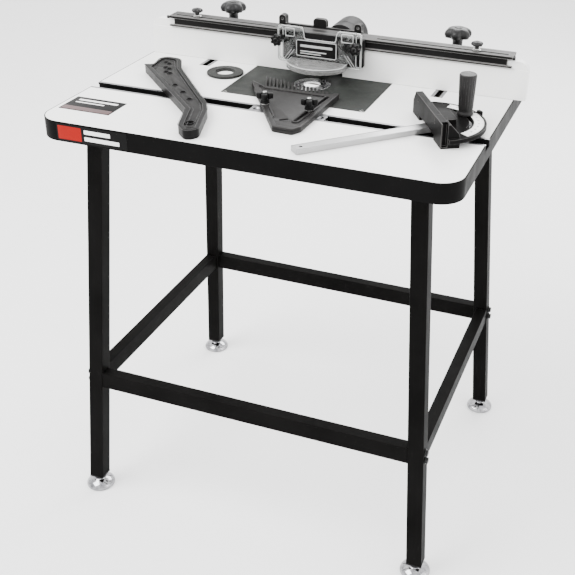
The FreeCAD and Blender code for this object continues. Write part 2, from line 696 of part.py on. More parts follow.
for x0, x1 in ((HOUSING_L - LUG_W, HOUSING_L), (HOUSING_R, HOUSING_R + LUG_W)):
    housing = housing.fuse(box(x0, x1, house_y0, house_y0 + LUG_T, lug_z0, lug_z1))
housing = housing.removeSplitter().cut(along_x([
    (house_y0, T + 1 + hw), (house_y1 - hw, T + 1 + hw), (house_y1 - hw, house_top - HOUSING_FALL - hw),
    (ridge_y, house_top - hw - 1), (step_y + hw, house_top - hw - 1), (step_y + hw, step_z - hw),
    (house_y0, step_z - hw),
], HOUSING_L + hw, HOUSING_R - hw))
for ear_x, ear_z in ((-105, 98), (62, 96)):
    housing = housing.cut(rod_along((ear_x, step_y, T + ear_z), (0, 1, 0), EAR_DEPTH, EAR_HOLE_R))
PORT_BORE_R = PORT_R - PORT_WALL
port_end = house_y1 + PORT_L


def port_rod(y0, y1, r):
    return rod_along((PORT_X, y0, T + PORT_Z), (0, 1, 0), y1 - y0, r)


# a slightly thinner neck runs through the housing, and its front is closed above the roof
port = union(port_rod(PORT_FRONT, house_y1, PORT_NECK_R), port_rod(house_y1, port_end, PORT_R))
port = port.cut(port_rod(PORT_FRONT, port_end, PORT_BORE_R))
port_brow = port_rod(PORT_FRONT, PORT_FRONT + PORT_WALL, PORT_NECK_R).common(
    box(PORT_X - PORT_R, PORT_X + PORT_R, PORT_FRONT, port_end, T + HOUSING_TOP - 8, T + PORT_Z + PORT_R)
)
port = union(port, port_brow)
housing = housing.cut(port_rod(PORT_FRONT, house_y1, PORT_NECK_R))
housing_screws = []
for x in (HOUSING_L - LUG_W / 2, HOUSING_R + LUG_W / 2):
    z = (lug_z0 + lug_z1) / 2
    beam = beam.cut(rod_along((x, WEB_Y, z), (0, 1, 0), WEB_T, 1.8))
    housing = housing.cut(rod_along((x, house_y0, z), (0, 1, 0), LUG_T, 1.8))
    housing_screws.append(
        union(
            rod_along((x, WEB_Y + 0.5, z), (0, 1, 0), WEB_T + LUG_T - 0.5, 1.8),
            rod_along((x, house_y0 + LUG_T, z), (0, 1, 0), 2.4, 3.6),
        )
    )

# ---- guard bracket, studs, clear guard and visor ----
BRACKET_Y0 = GUARD_Y + GUARD_T + 0.5
bracket = along_y(
    [(GUARD_X - 96, T + 62), (GUARD_X + 95, T + 62), (GUARD_X + 95, T + 88), (GUARD_X - 96, T + 88)],
    6, BRACKET_Y0, lip_y0,
)
apron = along_y(
    [(GUARD_X - 80, T + 28), (GUARD_X + 94, T + 28), (GUARD_X + 94, T + 70), (GUARD_X - 80, T + 70)],
    5, BRACKET_Y0, lip_y0,
)
bracket = union(bracket, apron)
bracket_screws = []
for x in (GUARD_X - 52, GUARD_X + 52):
    bracket = bracket.cut(rod_along((x, BRACKET_Y0, T + 76), (0, 1, 0), lip_y0 - BRACKET_Y0, 2.2))
    bracket = bracket.cut(rod_along((x, BRACKET_Y0, T + 76), (0, 1, 0), 2.4, 4.6))
    beam = beam.cut(rod_along((x, lip_y0, T + 76), (0, 1, 0), FLANGE_Y, 2.0))
    bracket_screws.append(
        union(
            rod_along((x, BRACKET_Y0 + 0.2, T + 76), (0, 1, 0), 2.2, 4.4),
            rod_along((x, BRACKET_Y0 + 2.4, T + 76), (0, 1, 0), FLANGE_Y + lip_y0 - BRACKET_Y0 - 2.6, 2.0),
        )
    )
studs = []
STUD_FRONT = GUARD_Y - 12
for s in (-1, 1):
    x = GUARD_X + s * GUARD_STUD_X
    bracket = bracket.cut(rod_along((x, BRACKET_Y0, T + GUARD_STUD_Z), (0, 1, 0), lip_y0 - BRACKET_Y0, 2.5))
    studs.append(rod_along((x, STUD_FRONT, T + GUARD_STUD_Z), (0, 1, 0), lip_y0 - STUD_FRONT - 0.2, 2.5))

gx0 = GUARD_X - GUARD_W / 2
gx1 = GUARD_X + GUARD_W / 2
NOTCH_L = GUARD_X - 35
NOTCH_R = GUARD_X + 38
NOTCH_Z = T + 77
outline = [
    (gx0, T + GUARD_LOW), (gx1, T + GUARD_LOW), (gx1, T + GUARD_HIGH), (NOTCH_R, T + GUARD_HIGH),
    (NOTCH_R - 4, NOTCH_Z), (NOTCH_L + 4, NOTCH_Z), (NOTCH_L, T + GUARD_HIGH), (gx0, T + GUARD_HIGH),
]
guard = along_y(outline, [7, 7, 8, 9, 5, 5, 9, 8], GUARD_Y, GUARD_Y + GUARD_T)
GUARD_SLOT_W = 6.4
for s in (-1, 1):
    x = GUARD_X + s * GUARD_STUD_X
    half = GUARD_SLOT_W / 2
    slot_points = [(x - half, T + 31), (x + half, T + 31), (x + half, T + 95), (x - half, T + 95)]
    guard = guard.cut(along_y(slot_points, half - 0.05, GUARD_Y, GUARD_Y + GUARD_T))
label = along_y(
    [(GUARD_X - 50, T + 40), (GUARD_X + 38, T + 40), (GUARD_X + 38, T + 74), (GUARD_X - 50, T + 74)],
    4, GUARD_Y - 1.6, GUARD_Y,
)
VISOR_HALF = 61
VISOR_FRONT = 38
VISOR_SIDE = 74
VISOR_Z1 = T + 35
VISOR_Z0 = T + 24


def visor_outline(inset, z):
    x0 = GUARD_X - VISOR_HALF + inset
    x1 = GUARD_X + VISOR_HALF - inset
    back = GUARD_Y
    mid = V(GUARD_X, VISOR_FRONT + inset, z)
    a = V(x0, VISOR_SIDE + inset * 0.4, z)
    b = V(x1, VISOR_SIDE + inset * 0.4, z)
    return Part.Face(Part.Wire([
        Part.makeLine(V(x0, back, z), a), Part.Arc(a, mid, b).toShape(),
        Part.makeLine(b, V(x1, back, z)), Part.makeLine(V(x1, back, z), V(x0, back, z)),
    ]))


visor = visor_outline(0, VISOR_Z0).extrude(V(0, 0, VISOR_Z1 - VISOR_Z0))
visor = visor.cut(visor_outline(4, VISOR_Z0).extrude(V(0, 0, VISOR_Z1 - VISOR_Z0 - 3)))


def star_knob(p, axis, radius, lobes, height, bore, hub):
    """A star grip with a short hub, its bore open at the back."""
    grip = lobed(radius, lobes, radius * 0.26, height)
    grip.translate(V(0, 0, hub))
    body = union(grip, Part.makeCylinder(radius * 0.55, hub))
    cap = Part.makeCylinder(radius * 0.42, 1.2, V(0, 0, hub + height))
    body = union(body, cap)
    body = body.cut(Part.makeCylinder(bore[0], bore[1]))
    return place(body, p, axis)


for side, s in (("left", -1), ("right", 1)):
    x = GUARD_X + s * GUARD_STUD_X
    save(
        "guard_knob_" + side,
        star_knob((x, GUARD_Y - REST_GAP, T + GUARD_STUD_Z), (0, -1, 0), 12.5, 6, 9, (2.55, 13), 20),
    )

save("fence_beam", beam)
save("fence_arms", group(*arms))
save("clamp_bolts", group(*clamp_bolts))
save("chip_housing", housing)
save("dust_port", port)
save("guard_bracket", bracket)
save("fence_screws", group(*arm_bolts, *end_screws, *housing_screws, *bracket_screws))
save("guard_studs", group(*studs))
save("guard_plate", guard)
save("guard_label", label)
save("guard_visor", visor)

# ================= featherboard on its slot bar =================
FEATHER_Z = T + REST_GAP
FEATHER_T = 11
FEATHER_WEB = 8
FINGERS = 17
FINGER_W = 4.6
FINGER_LEAN = 0.42
ROOT_Y = -20
ROOTS = (-66, 62)
REACHES = (60, 22)
FEATHER_SLOT = 7
FEATHER_KNOB_X = (-29, 61)
SLOT_TURNS = (33, -4)
SLOT_REACH = ((-66, 122), (-62, 88))
body_points = [(29, -217), (68, -219), (78, -200), (82, -4), (60, ROOT_Y), (-72, ROOT_Y), (-113, 6)]
whole = plate(body_points, [8, 6, 12, 3, 2, 2, 3], FEATHER_Z, FEATHER_Z + FEATHER_T)
pocket_points = [(32, -208), (66, -210), (70, -196), (73, -30), (-66, -30), (-92, -8)]
pocket = plate(pocket_points, [4, 4, 6, 3, 3, 3], FEATHER_Z + FEATHER_WEB, FEATHER_Z + FEATHER_T)
feather = whole.cut(pocket)
for i in range(FINGERS):
    t = i / (FINGERS - 1)
    rx = ROOTS[0] + (ROOTS[1] - ROOTS[0]) * t
    reach = REACHES[0] + (REACHES[1] - REACHES[0]) * t
    tx = rx - FINGER_LEAN * reach
    ty = ROOT_Y + reach
    half = FINGER_W / 2
    finger_points = [(rx - half, ROOT_Y - 4), (rx + half, ROOT_Y - 4), (tx + half, ty), (tx - half, ty - 2)]
    feather = feather.fuse(plate(finger_points, 0, FEATHER_Z, FEATHER_Z + FEATHER_T - 1))
for x, turn, (low, high) in zip(FEATHER_KNOB_X, SLOT_TURNS, SLOT_REACH):
    half = FEATHER_SLOT / 2
    ridge = slab(-7.5, 7.5, low - 4, high + 4, 7.4, FEATHER_Z + FEATHER_WEB - 1, FEATHER_Z + FEATHER_T)
    slot = slab(-half, half, low, high, half - 0.1, FEATHER_Z, FEATHER_Z + FEATHER_T)
    for tool in (ridge, slot):
        tool.rotate(V(0, 0, 0), V(0, 0, 1), turn)
        tool.translate(V(x, TRACK_Y, 0))
    feather = feather.fuse(ridge.common(whole)).cut(slot)
feather = feather.removeSplitter()
hang_slot = slab(-9, 9, -3, 3, 2.9, FEATHER_Z, FEATHER_Z + FEATHER_T)
hang_slot.rotate(V(0, 0, 0), V(0, 0, 1), 40)
hang_slot.translate(V(33, -172, 0))
feather = feather.cut(hang_slot)

SLOT_BAR_W = TRACK_MOUTH - 0.8
SLOT_BAR = (-58, 94)
bar_z0 = track_floor + 0.4
bar_top = T - 0.4
slot_bar = slab(*SLOT_BAR, TRACK_Y - SLOT_BAR_W / 2, TRACK_Y + SLOT_BAR_W / 2, 3, bar_z0, bar_top)
for end, d in zip(SLOT_BAR, (1, -1)):
    x = end + d * 11
    slot_bar = slot_bar.cut(rod(x, TRACK_Y, bar_z0, bar_top, 4))
    slot_bar = slot_bar.cut(cone(x, TRACK_Y, bar_top - 3, bar_top, 4, 7))
    slot_bar = slot_bar.cut(box(min(end, x), max(end, x), TRACK_Y - 0.8, TRACK_Y + 0.8, bar_z0, bar_top))
feather_studs = []
washers = []
for x in FEATHER_KNOB_X:
    slot_bar = slot_bar.cut(rod(x, TRACK_Y, bar_z0, bar_top, 3))
    feather_studs.append(rod(x, TRACK_Y, bar_z0, FEATHER_Z + FEATHER_T + 20, 3))
    washer = rod(x, TRACK_Y, FEATHER_Z + FEATHER_T, FEATHER_Z + FEATHER_T + 1.5, 8)
    washers.append(washer.cut(rod(x, TRACK_Y, FEATHER_Z + FEATHER_T, FEATHER_Z + FEATHER_T + 1.5, 3.3)))
for name, x in zip(("left", "right"), FEATHER_KNOB_X):
    save(
        "feather_knob_" + name,
        star_knob((x, TRACK_Y, FEATHER_Z + FEATHER_T + 1.9), (0, 0, 1), 16, 4, 11, (3.05, 19), 9),
    )
save("featherboard", feather)
save("slot_bar", slot_bar)
save("feather_studs", group(*feather_studs, *washers))

# ================= mitre gauge, lying across the table =================
PIVOT_X = 290
PIVOT_Y = -96
BAR_ANGLE = 46
HEAD_ANGLE = 31
BAR_W = 24.2
BAR_T = 9.5
BAR_TAIL = -272
BAR_NOSE = 107.5
GAUGE_Z = T + REST_GAP

# drawn along X with the pivot at the origin, then turned and moved
gauge_bar = slab(BAR_TAIL, BAR_NOSE, -BAR_W / 2, BAR_W / 2, 1.5, GAUGE_Z, GAUGE_Z + BAR_T)
for y in (-BAR_W / 2 + 1.5, BAR_W / 2 - 1.5):
    gauge_bar = gauge_bar.cut(box(BAR_TAIL, BAR_NOSE, y - 0.6, y + 0.6, GAUGE_Z + BAR_T - 1, GAUGE_Z + BAR_T))
gauge_bar = gauge_bar.cut(rod(0, 0, GAUGE_Z, GAUGE_Z + BAR_T, 4))
gauge_bar = gauge_bar.cut(rod(BAR_TAIL + 14, 0, GAUGE_Z, GAUGE_Z + BAR_T, 3.2))
CLAMP_AT = 72
gauge_bar = gauge_bar.cut(rod(CLAMP_AT, 0, GAUGE_Z, GAUGE_Z + BAR_T, 3))
PIVOT_R = 4
PIVOT_H = 26
pivot_pin = rod(0, 0, GAUGE_Z, GAUGE_Z + PIVOT_H, PIVOT_R)
clamp_stud = rod(CLAMP_AT, 0, GAUGE_Z, GAUGE_Z + 62, 3)
DISC_Z = GAUGE_Z + BAR_T + 0.4
DISC_T = 8
HEAD_R = 100
FACE_T = 13
FACE_H = 46
FACE_HALF = 93
FACE_X = -9
FACE_BACK = FACE_X + FACE_T
END_DEPTH = 23
face_top = GAUGE_Z + FACE_H
disc_top = DISC_Z + DISC_T
head = rod(0, 0, DISC_Z, disc_top, HEAD_R).common(
    box(FACE_BACK, HEAD_R + 1, -HEAD_R, HEAD_R, DISC_Z, disc_top)
)
hub = slab(-2, 40, -30, 30, 8, disc_top, DISC_Z + 19)
face = along_x([
    (-FACE_HALF, GAUGE_Z), (FACE_HALF, GAUGE_Z), (FACE_HALF, face_top - 20),
    (FACE_HALF - 15, face_top), (-FACE_HALF, face_top),
], FACE_X, FACE_BACK)
# blocks at the two ends of the disc, clear of the bar at every angle, and a gusset on the near one
near_block = box(FACE_BACK - 1, FACE_BACK - 1 + END_DEPTH, -FACE_HALF, -60, GAUGE_Z, DISC_Z)
far_blocks = [
    box(FACE_BACK - 1, FACE_BACK + 10, 60, FACE_HALF - 10, z0, z1)
    for z0, z1 in ((GAUGE_Z, DISC_Z), (disc_top, DISC_Z + 12))
]
gusset = along_y(
    [(3, disc_top), (26, disc_top), (24, disc_top + 8), (8, face_top - 2), (3, face_top - 2)],
    0, -FACE_HALF, -FACE_HALF + 26,
)
TUNNEL_HALF = 48
tunnel = box(-12, 12, -TUNNEL_HALF, TUNNEL_HALF, GAUGE_Z, DISC_Z)
face = union(face, hub, near_block, *far_blocks, gusset).cut(tunnel)
# a recess in the near end of the face, and a slit down from its top edge
face = face.cut(box(FACE_X + 2, FACE_BACK - 1, -FACE_HALF, -FACE_HALF + 9, GAUGE_Z + 3, face_top))
face = face.cut(box(FACE_X, FACE_BACK, -50, -48.6, face_top - 13, face_top))
SWING = 40
SCALE_T = 0.5


def sector(start, end, r0, r1, z0, z1):
    """A piece of a flat ring about the origin between two angles in degrees."""
    far = 2 * r1
    middle = radians((start + end) / 2)
    corners = [(0, 0)] + [(far * cos(a), far * sin(a)) for a in (radians(start), middle, radians(end))]
    wedge = Part.Face(Part.makePolygon([V(x, y, z0) for x, y in corners + corners[:1]]))
    return rod(0, 0, z0, z1, r1).cut(rod(0, 0, z0, z1, r0)).common(wedge.extrude(V(0, 0, z1 - z0)))


head = head.cut(sector(-SWING, SWING, CLAMP_AT - 3.4, CLAMP_AT + 3.4, DISC_Z, DISC_Z + 40))
pivot_bore = rod(0, 0, GAUGE_Z, GAUGE_Z + PIVOT_H + 0.4, PIVOT_R + 0.05)
head = head.cut(pivot_bore)
face = face.cut(pivot_bore)
scale_z = DISC_Z + DISC_T
scale_arc = sector(-64, 52, 77.5, 95, scale_z, scale_z + SCALE_T)
face_screws = []
for y in (-50, 62):
    at = (FACE_BACK, y, GAUGE_Z + 34)
    face = face.cut(rod_along(at, (-1, 0, 0), FACE_T, 2.2))
    face_screws.append(union(rod_along(at, (-1, 0, 0), FACE_T - 2, 2.2), rod_along(at, (1, 0, 0), 3, 4.2)))
handle_profile = [
    (3.05, 0), (14.5, 0), (15, 2), (14.6, 5), (13.2, 8), (13.8, 14), (16, 72),
    (15.5, 76), (13, 77.5), (0, 78), (0, 45), (3.05, 45),
]
HANDLE_Z = scale_z + SCALE_T + 0.4
handle = revolve(handle_profile, (CLAMP_AT, 0, HANDLE_Z))
GROOVES = 16
GROOVE_AT = 14.9
for i in range(GROOVES):
    a = 2 * pi * i / GROOVES
    foot = V(CLAMP_AT + GROOVE_AT * cos(a), GROOVE_AT * sin(a), HANDLE_Z + 12)
    groove = Part.makeCylinder(1.6, 62, foot)
    groove.rotate(foot, V(-sin(a), cos(a), 0), 2.2)
    handle = handle.cut(groove)


def lay(solid, angle):
    out = solid.copy()
    out.rotate(V(0, 0, 0), V(0, 0, 1), angle)
    out.translate(V(PIVOT_X, PIVOT_Y, 0))
    return out


# pointer at the nose of the bar, standing clear of the disc and reaching over the scale
POINTER_Z = disc_top + SCALE_T + 0.4
pointer = union(
    box(HEAD_R + 1, BAR_NOSE, -6, 6, GAUGE_Z + BAR_T, POINTER_Z + 2),
    box(HEAD_R - 9, HEAD_R + 1, -1.5, 1.5, POINTER_Z, POINTER_Z + 1.2),
)
save("mitre_pointer", lay(pointer, BAR_ANGLE))
save("mitre_bar", lay(gauge_bar, BAR_ANGLE))
save("mitre_pins", group(lay(pivot_pin, BAR_ANGLE), lay(clamp_stud, BAR_ANGLE)))
save("mitre_handle", lay(handle, BAR_ANGLE))
save("mitre_head", lay(head, HEAD_ANGLE))
save("mitre_face", lay(face, HEAD_ANGLE))
save("mitre_scale", lay(scale_arc, HEAD_ANGLE))
save("mitre_face_screws", group(*[lay(s, HEAD_ANGLE) for s in face_screws]))

# ================= push stick =================
STICK_Z = T + REST_GAP
STICK_T = 18
stick_points = [
    (-338, 52), (-292, 50), (-264, -4), (-124, -170), (-107, -200), (-78, -292), (-93, -316),
    (-120, -290), (-147, -210), (-344, -12), (-327, -3),
]
stick_radii = [18, 24, 30, 20, 30, 14, 12, 12, 12, 1.5, 1.5]
stick = plate(stick_points, stick_radii, STICK_Z, STICK_Z + STICK_T)
stick_inner = [
    (-331, 46), (-297, 44), (-271, -7), (-130, -172), (-114, -202), (-86, -290), (-94, -307),
    (-112, -288), (-140, -206), (-322, -22),
]
inner_radii = [12, 18, 26, 14, 24, 8, 6, 8, 8, 6]
for z0, z1 in ((STICK_Z + STICK_T - 3, STICK_Z + STICK_T), (STICK_Z, STICK_Z + 3)):
    stick = stick.cut(plate(stick_inner, inner_radii, z0, z1))
STICK_HOLES = (
    (-312, 22), (-302, 16), (-297, -8), (-286, -14), (-283, -32), (-272, -38),
    (-228, -98), (-195, -128), (-165, -159),
)
STICK_HOLE_R = 4.4
for x, y in STICK_HOLES:
    stick = stick.cut(rod(x, y, STICK_Z, STICK_Z + STICK_T, STICK_HOLE_R))
hang = slab(-8, 8, -5.5, 5.5, 5.4, STICK_Z, STICK_Z + STICK_T)
hang.rotate(V(0, 0, 0), V(0, 0, 1), 60)
hang.translate(V(-107, -270, 0))
stick = stick.cut(hang)
save("push_stick", stick)
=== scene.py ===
import json
import math

import bmesh
import bpy
from mathutils import Matrix, Vector


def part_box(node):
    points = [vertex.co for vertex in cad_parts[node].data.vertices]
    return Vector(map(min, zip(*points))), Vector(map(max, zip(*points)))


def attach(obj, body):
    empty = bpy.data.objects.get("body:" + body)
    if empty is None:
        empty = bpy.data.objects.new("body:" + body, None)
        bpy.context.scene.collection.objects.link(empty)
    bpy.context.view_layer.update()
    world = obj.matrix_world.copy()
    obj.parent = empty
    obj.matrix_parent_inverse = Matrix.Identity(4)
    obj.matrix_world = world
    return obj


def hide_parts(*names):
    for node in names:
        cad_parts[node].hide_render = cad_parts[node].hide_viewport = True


# Looks of the router table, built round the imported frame. The scene is in metres, in the same frame as
# the CAD. Shapes are laid out in millimetres, and MM turns them into metres.

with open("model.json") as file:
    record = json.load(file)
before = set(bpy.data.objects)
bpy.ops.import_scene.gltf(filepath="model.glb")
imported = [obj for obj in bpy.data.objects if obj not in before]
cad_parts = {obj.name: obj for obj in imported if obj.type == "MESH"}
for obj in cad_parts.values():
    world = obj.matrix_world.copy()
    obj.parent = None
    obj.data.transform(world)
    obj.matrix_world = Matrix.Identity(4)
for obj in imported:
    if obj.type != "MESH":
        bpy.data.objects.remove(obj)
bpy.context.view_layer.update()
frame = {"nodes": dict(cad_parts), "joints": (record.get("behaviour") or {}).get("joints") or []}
nodes = frame["nodes"]
scene = bpy.context.scene
MM = 0.001


# ================= shapes =================

def rounded(points, radii, steps=6):
    """A closed outline in millimetres with its corners rounded, as a list of points in metres."""
    out = []
    count = len(points)
    for i in range(count):
        p = Vector(points[i])
        a = (Vector(points[i - 1]) - p).normalized()
        b = (Vector(points[(i + 1) % count]) - p).normalized()
        r = radii[i] if isinstance(radii, (list, tuple)) else radii
        if r <= 0:
            out.append(p * MM)
            continue
        half = a.angle(b) / 2
        centre = p + (a + b).normalized() * (r / math.sin(half))
        start = p + a * (r / math.tan(half)) - centre
        end = p + b * (r / math.tan(half)) - centre
        sweep = start.angle_signed(end)
        for k in range(steps + 1):
            turn = Matrix.Rotation(-sweep * k / steps, 2)
            out.append((centre + turn @ start) * MM)
    return out


def rect(x0, x1, y0, y1):
    return [(x0, y0), (x1, y0), (x1, y1), (x0, y1)]


def circle(x, y, r, steps=20):
    return [
        Vector((x + r * math.cos(2 * math.pi * i / steps), y + r * math.sin(2 * math.pi * i / steps))) * MM
        for i in range(steps)
    ]


def turned(points, angle, x=0.0, y=0.0):
    """Points in millimetres turned about their origin and then moved."""
    c = math.cos(math.radians(angle))
    s = math.sin(math.radians(angle))
    return [(c * px - s * py + x, s * px + c * py + y) for px, py in points]


def inset_loop(points, inset):
    """A plain loop moved inwards by the same distance all round."""
    out = []
    count = len(points)
    for i in range(count):
        p = Vector(points[i])
        a = (Vector(points[i - 1]) - p).normalized()
        b = (Vector(points[(i + 1) % count]) - p).normalized()
        bis = (a + b).normalized()
        inward = bis if a.angle_signed(b) > 0 else -bis
        out.append(tuple(p + inward * (inset / math.sin(a.angle(b) / 2))))
    return out


def weld(mesh, distance=1e-6):
    bm = bmesh.new()
    bm.from_mesh(mesh)
    bmesh.ops.remove_doubles(bm, verts=bm.verts, dist=distance)
    bmesh.ops.recalc_face_normals(bm, faces=bm.faces)
    bm.to_mesh(mesh)
    bm.free()


def flat_mesh(loops, z0, z1, edge, inset=0.0, steps=2):
    """A flat solid with rounded edges. The first loop is its outline, and the others are holes."""
    curve = bpy.data.curves.new("outline", "CURVE")
    curve.dimensions = "2D"
    curve.fill_mode = "BOTH"
    curve.extrude = (z1 - z0) * MM / 2 - edge * MM
    curve.bevel_depth = edge * MM
    curve.bevel_resolution = steps
    curve.offset = -(edge + inset) * MM
    for loop in loops:
        spline = curve.splines.new("POLY")
        spline.points.add(len(loop) - 1)
        for point, co in zip(spline.points, loop):
            point.co = (co[0], co[1], 0, 1)
        spline.use_cyclic_u = True
    holder = bpy.data.objects.new("outline", curve)
    scene.collection.objects.link(holder)
    bpy.context.view_layer.update()
    mesh = bpy.data.meshes.new_from_object(holder.evaluated_get(bpy.context.evaluated_depsgraph_get()))
    bpy.data.objects.remove(holder)
    mesh.materials.clear()
    mesh.transform(Matrix.Translation((0, 0, (z0 + z1) / 2 * MM)))
    weld(mesh)
    return mesh


def loft_mesh(rings, closed=True):
    """A solid skin through rings of points, each with the same count, closed by a cap at both ends."""
    count = len(rings[0])
    verts = [tuple(p) for ring in rings for p in ring]
    faces = []
    for k in range(len(rings) - 1):
        for i in range(count):
            j = (i + 1) % count
            faces.append((k * count + i, k * count + j, (k + 1) * count + j, (k + 1) * count + i))
    if closed:
        faces.append(tuple(reversed(range(count))))
        last = (len(rings) - 1) * count
        faces.append(tuple(last + i for i in range(count)))
    mesh = bpy.data.meshes.new("loft")
    mesh.from_pydata(verts, [], faces)
    weld(mesh)
    return mesh


def polar_mesh(profile, shape=None, segments=96):
    """A turned solid from (radius, height) in millimetres. shape(angle, radius, height) scales a radius."""
    rings = []
    for r, z in profile:
        ring = []
        for i in range(segments):
            a = 2 * math.pi * i / segments
            k = shape(a, r, z) if shape else 1.0
            ring.append((r * k * math.cos(a) * MM, r * k * math.sin(a) * MM, z * MM))
        rings.append(ring)
    return loft_mesh(rings)


def tube_mesh(points, radius, closed=False, sides=8):
    """A round bead that follows points in metres."""
    curve = bpy.data.curves.new("bead", "CURVE")
    curve.dimensions = "3D"
    curve.bevel_depth = radius * MM
    curve.bevel_resolution = sides // 4
    curve.use_fill_caps = not closed
    spline = curve.splines.new("POLY")
    spline.points.add(len(points) - 1)
    for point, co in zip(spline.points, points):
        point.co = (co[0], co[1], co[2], 1)
    spline.use_cyclic_u = closed
    holder = bpy.data.objects.new("bead", curve)
    scene.collection.objects.link(holder)
    bpy.context.view_layer.update()
    mesh = bpy.data.meshes.new_from_object(holder.evaluated_get(bpy.context.evaluated_depsgraph_get()))
    bpy.data.objects.remove(holder)
    mesh.materials.clear()
    return mesh


def text_mesh(words, size, height=0.1):
    """Plain numerals, lying flat and centred."""
    curve = bpy.data.curves.new("numeral", "FONT")
    curve.body = words
    curve.size = size * MM
    curve.extrude = height * MM
    curve.align_x = "CENTER"
    curve.align_y = "CENTER"
    holder = bpy.data.objects.new("numeral", curve)
    scene.collection.objects.link(holder)
    bpy.context.view_layer.update()
    mesh = bpy.data.meshes.new_from_object(holder.evaluated_get(bpy.context.evaluated_depsgraph_get()))
    bpy.data.objects.remove(holder)
    mesh.materials.clear()
    return mesh


def joined(meshes):
    """One mesh made of several, which are then dropped."""
    bm = bmesh.new()
    for mesh in meshes:
        bm.from_mesh(mesh)
        bpy.data.meshes.remove(mesh)
    out = bpy.data.meshes.new("joined")
    bm.to_mesh(out)
    bm.free()
    return out


def moved(mesh, matrix):
    mesh.transform(matrix)
    return mesh


def shift(x, y, z):
    return Matrix.Translation((x * MM, y * MM, z * MM))


def spin(angle):
    return Matrix.Rotation(math.radians(angle), 4, "Z")


def soften(mesh, angle=32):
    for polygon in mesh.polygons:
        polygon.use_smooth = True
    mesh.set_sharp_from_angle(angle=math.radians(angle))


def piece(name, mesh, body, material, stands_for=(), angle=32):
    """A finished piece that rides on a body and takes the material it is given."""
    mesh.name = name
    soften(mesh, angle)
    mesh.materials.append(material)
    obj = bpy.data.objects.new(name, mesh)
    scene.collection.objects.link(obj)
    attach(obj, body)
    if stands_for:
        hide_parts(*stands_for)
    return obj


# ================= materials =================

class Nodes:
    """A short way to lay out a material's nodes."""

    def __init__(self, name):
        self.material = bpy.data.materials.new(name)
        self.material.use_nodes = True
        self.tree = self.material.node_tree
        self.shader = self.tree.nodes["Principled BSDF"]
        self.place = self.add("ShaderNodeTexCoord").outputs["Object"]

    def add(self, kind, **settings):
        node = self.tree.nodes.new(kind)
        for key, value in settings.items():
            setattr(node, key, value)
        return node

    def link(self, a, b):
        self.tree.links.new(a, b)

    def mapped(self, scale=(1, 1, 1), location=(0, 0, 0), rotation=(0, 0, 0)):
        node = self.add("ShaderNodeMapping", vector_type="POINT")
        node.inputs["Scale"].default_value = scale
        node.inputs["Location"].default_value = location
        node.inputs["Rotation"].default_value = rotation
        self.link(self.place, node.inputs["Vector"])
        return node.outputs["Vector"]

    def noise(self, scale, detail=4.0, rough=0.55, vector=None, distortion=0.0):
        node = self.add("ShaderNodeTexNoise")
        node.inputs["Scale"].default_value = scale
        node.inputs["Detail"].default_value = detail
        node.inputs["Roughness"].default_value = rough
        node.inputs["Distortion"].default_value = distortion
        self.link(vector or self.place, node.inputs["Vector"])
        return node.outputs["Fac"]

    def cells(self, scale, vector=None):
        node = self.add("ShaderNodeTexVoronoi")
        node.inputs["Scale"].default_value = scale
        self.link(vector or self.place, node.inputs["Vector"])
        return node.outputs["Distance"]

    def spread(self, value, low, high, from_low=0.3, from_high=0.7):
        node = self.add("ShaderNodeMapRange")
        node.inputs["From Min"].default_value = from_low
        node.inputs["From Max"].default_value = from_high
        node.inputs["To Min"].default_value = low
        node.inputs["To Max"].default_value = high
        self.link(value, node.inputs["Value"])
        return node.outputs["Result"]

    def blend(self, value, first, second):
        """A colour between two colours or sockets, by a value from 0 to 1."""
        node = self.add("ShaderNodeMix", data_type="RGBA")
        self.link(value, node.inputs[0])
        for socket, colour in ((node.inputs[6], first), (node.inputs[7], second)):
            if isinstance(colour, tuple):
                socket.default_value = (*colour, 1.0)
            else:
                self.link(colour, socket)
        return node.outputs[2]

    def bump(self, value, strength, distance, below=None):
        node = self.add("ShaderNodeBump")
        node.inputs["Strength"].default_value = strength
        node.inputs["Distance"].default_value = distance
        self.link(value, node.inputs["Height"])
        if below is not None:
            self.link(below, node.inputs["Normal"])
        return node.outputs["Normal"]

    def set(self, **values):
        for key, value in values.items():
            socket = self.shader.inputs[key.replace("_", " ")]
            if isinstance(value, bpy.types.NodeSocket):
                self.link(value, socket)
            else:
                socket.default_value = value


def wear(n, width=0.0008):
    """A value near 1 along edges, broken up by noise: paint or plastic scuffed at its edges, and partly a
    painted highlight there.
    """
    soft = n.add("ShaderNodeBevel", samples=4)
    soft.inputs["Radius"].default_value = width
    hard = n.add("ShaderNodeNewGeometry")
    dot = n.add("ShaderNodeVectorMath", operation="DOT_PRODUCT")
    n.link(soft.outputs["Normal"], dot.inputs[0])
    n.link(hard.outputs["Normal"], dot.inputs[1])
    edge = n.spread(dot.outputs["Value"], 1.0, 0.0, 0.80, 0.985)
    broken = n.spread(n.noise(160, 5.0, 0.7), 0.0, 1.0, 0.42, 0.62)
    both = n.add("ShaderNodeMath", operation="MULTIPLY")
    n.link(edge, both.inputs[0])
    n.link(broken, both.inputs[1])
    return both.outputs["Value"]


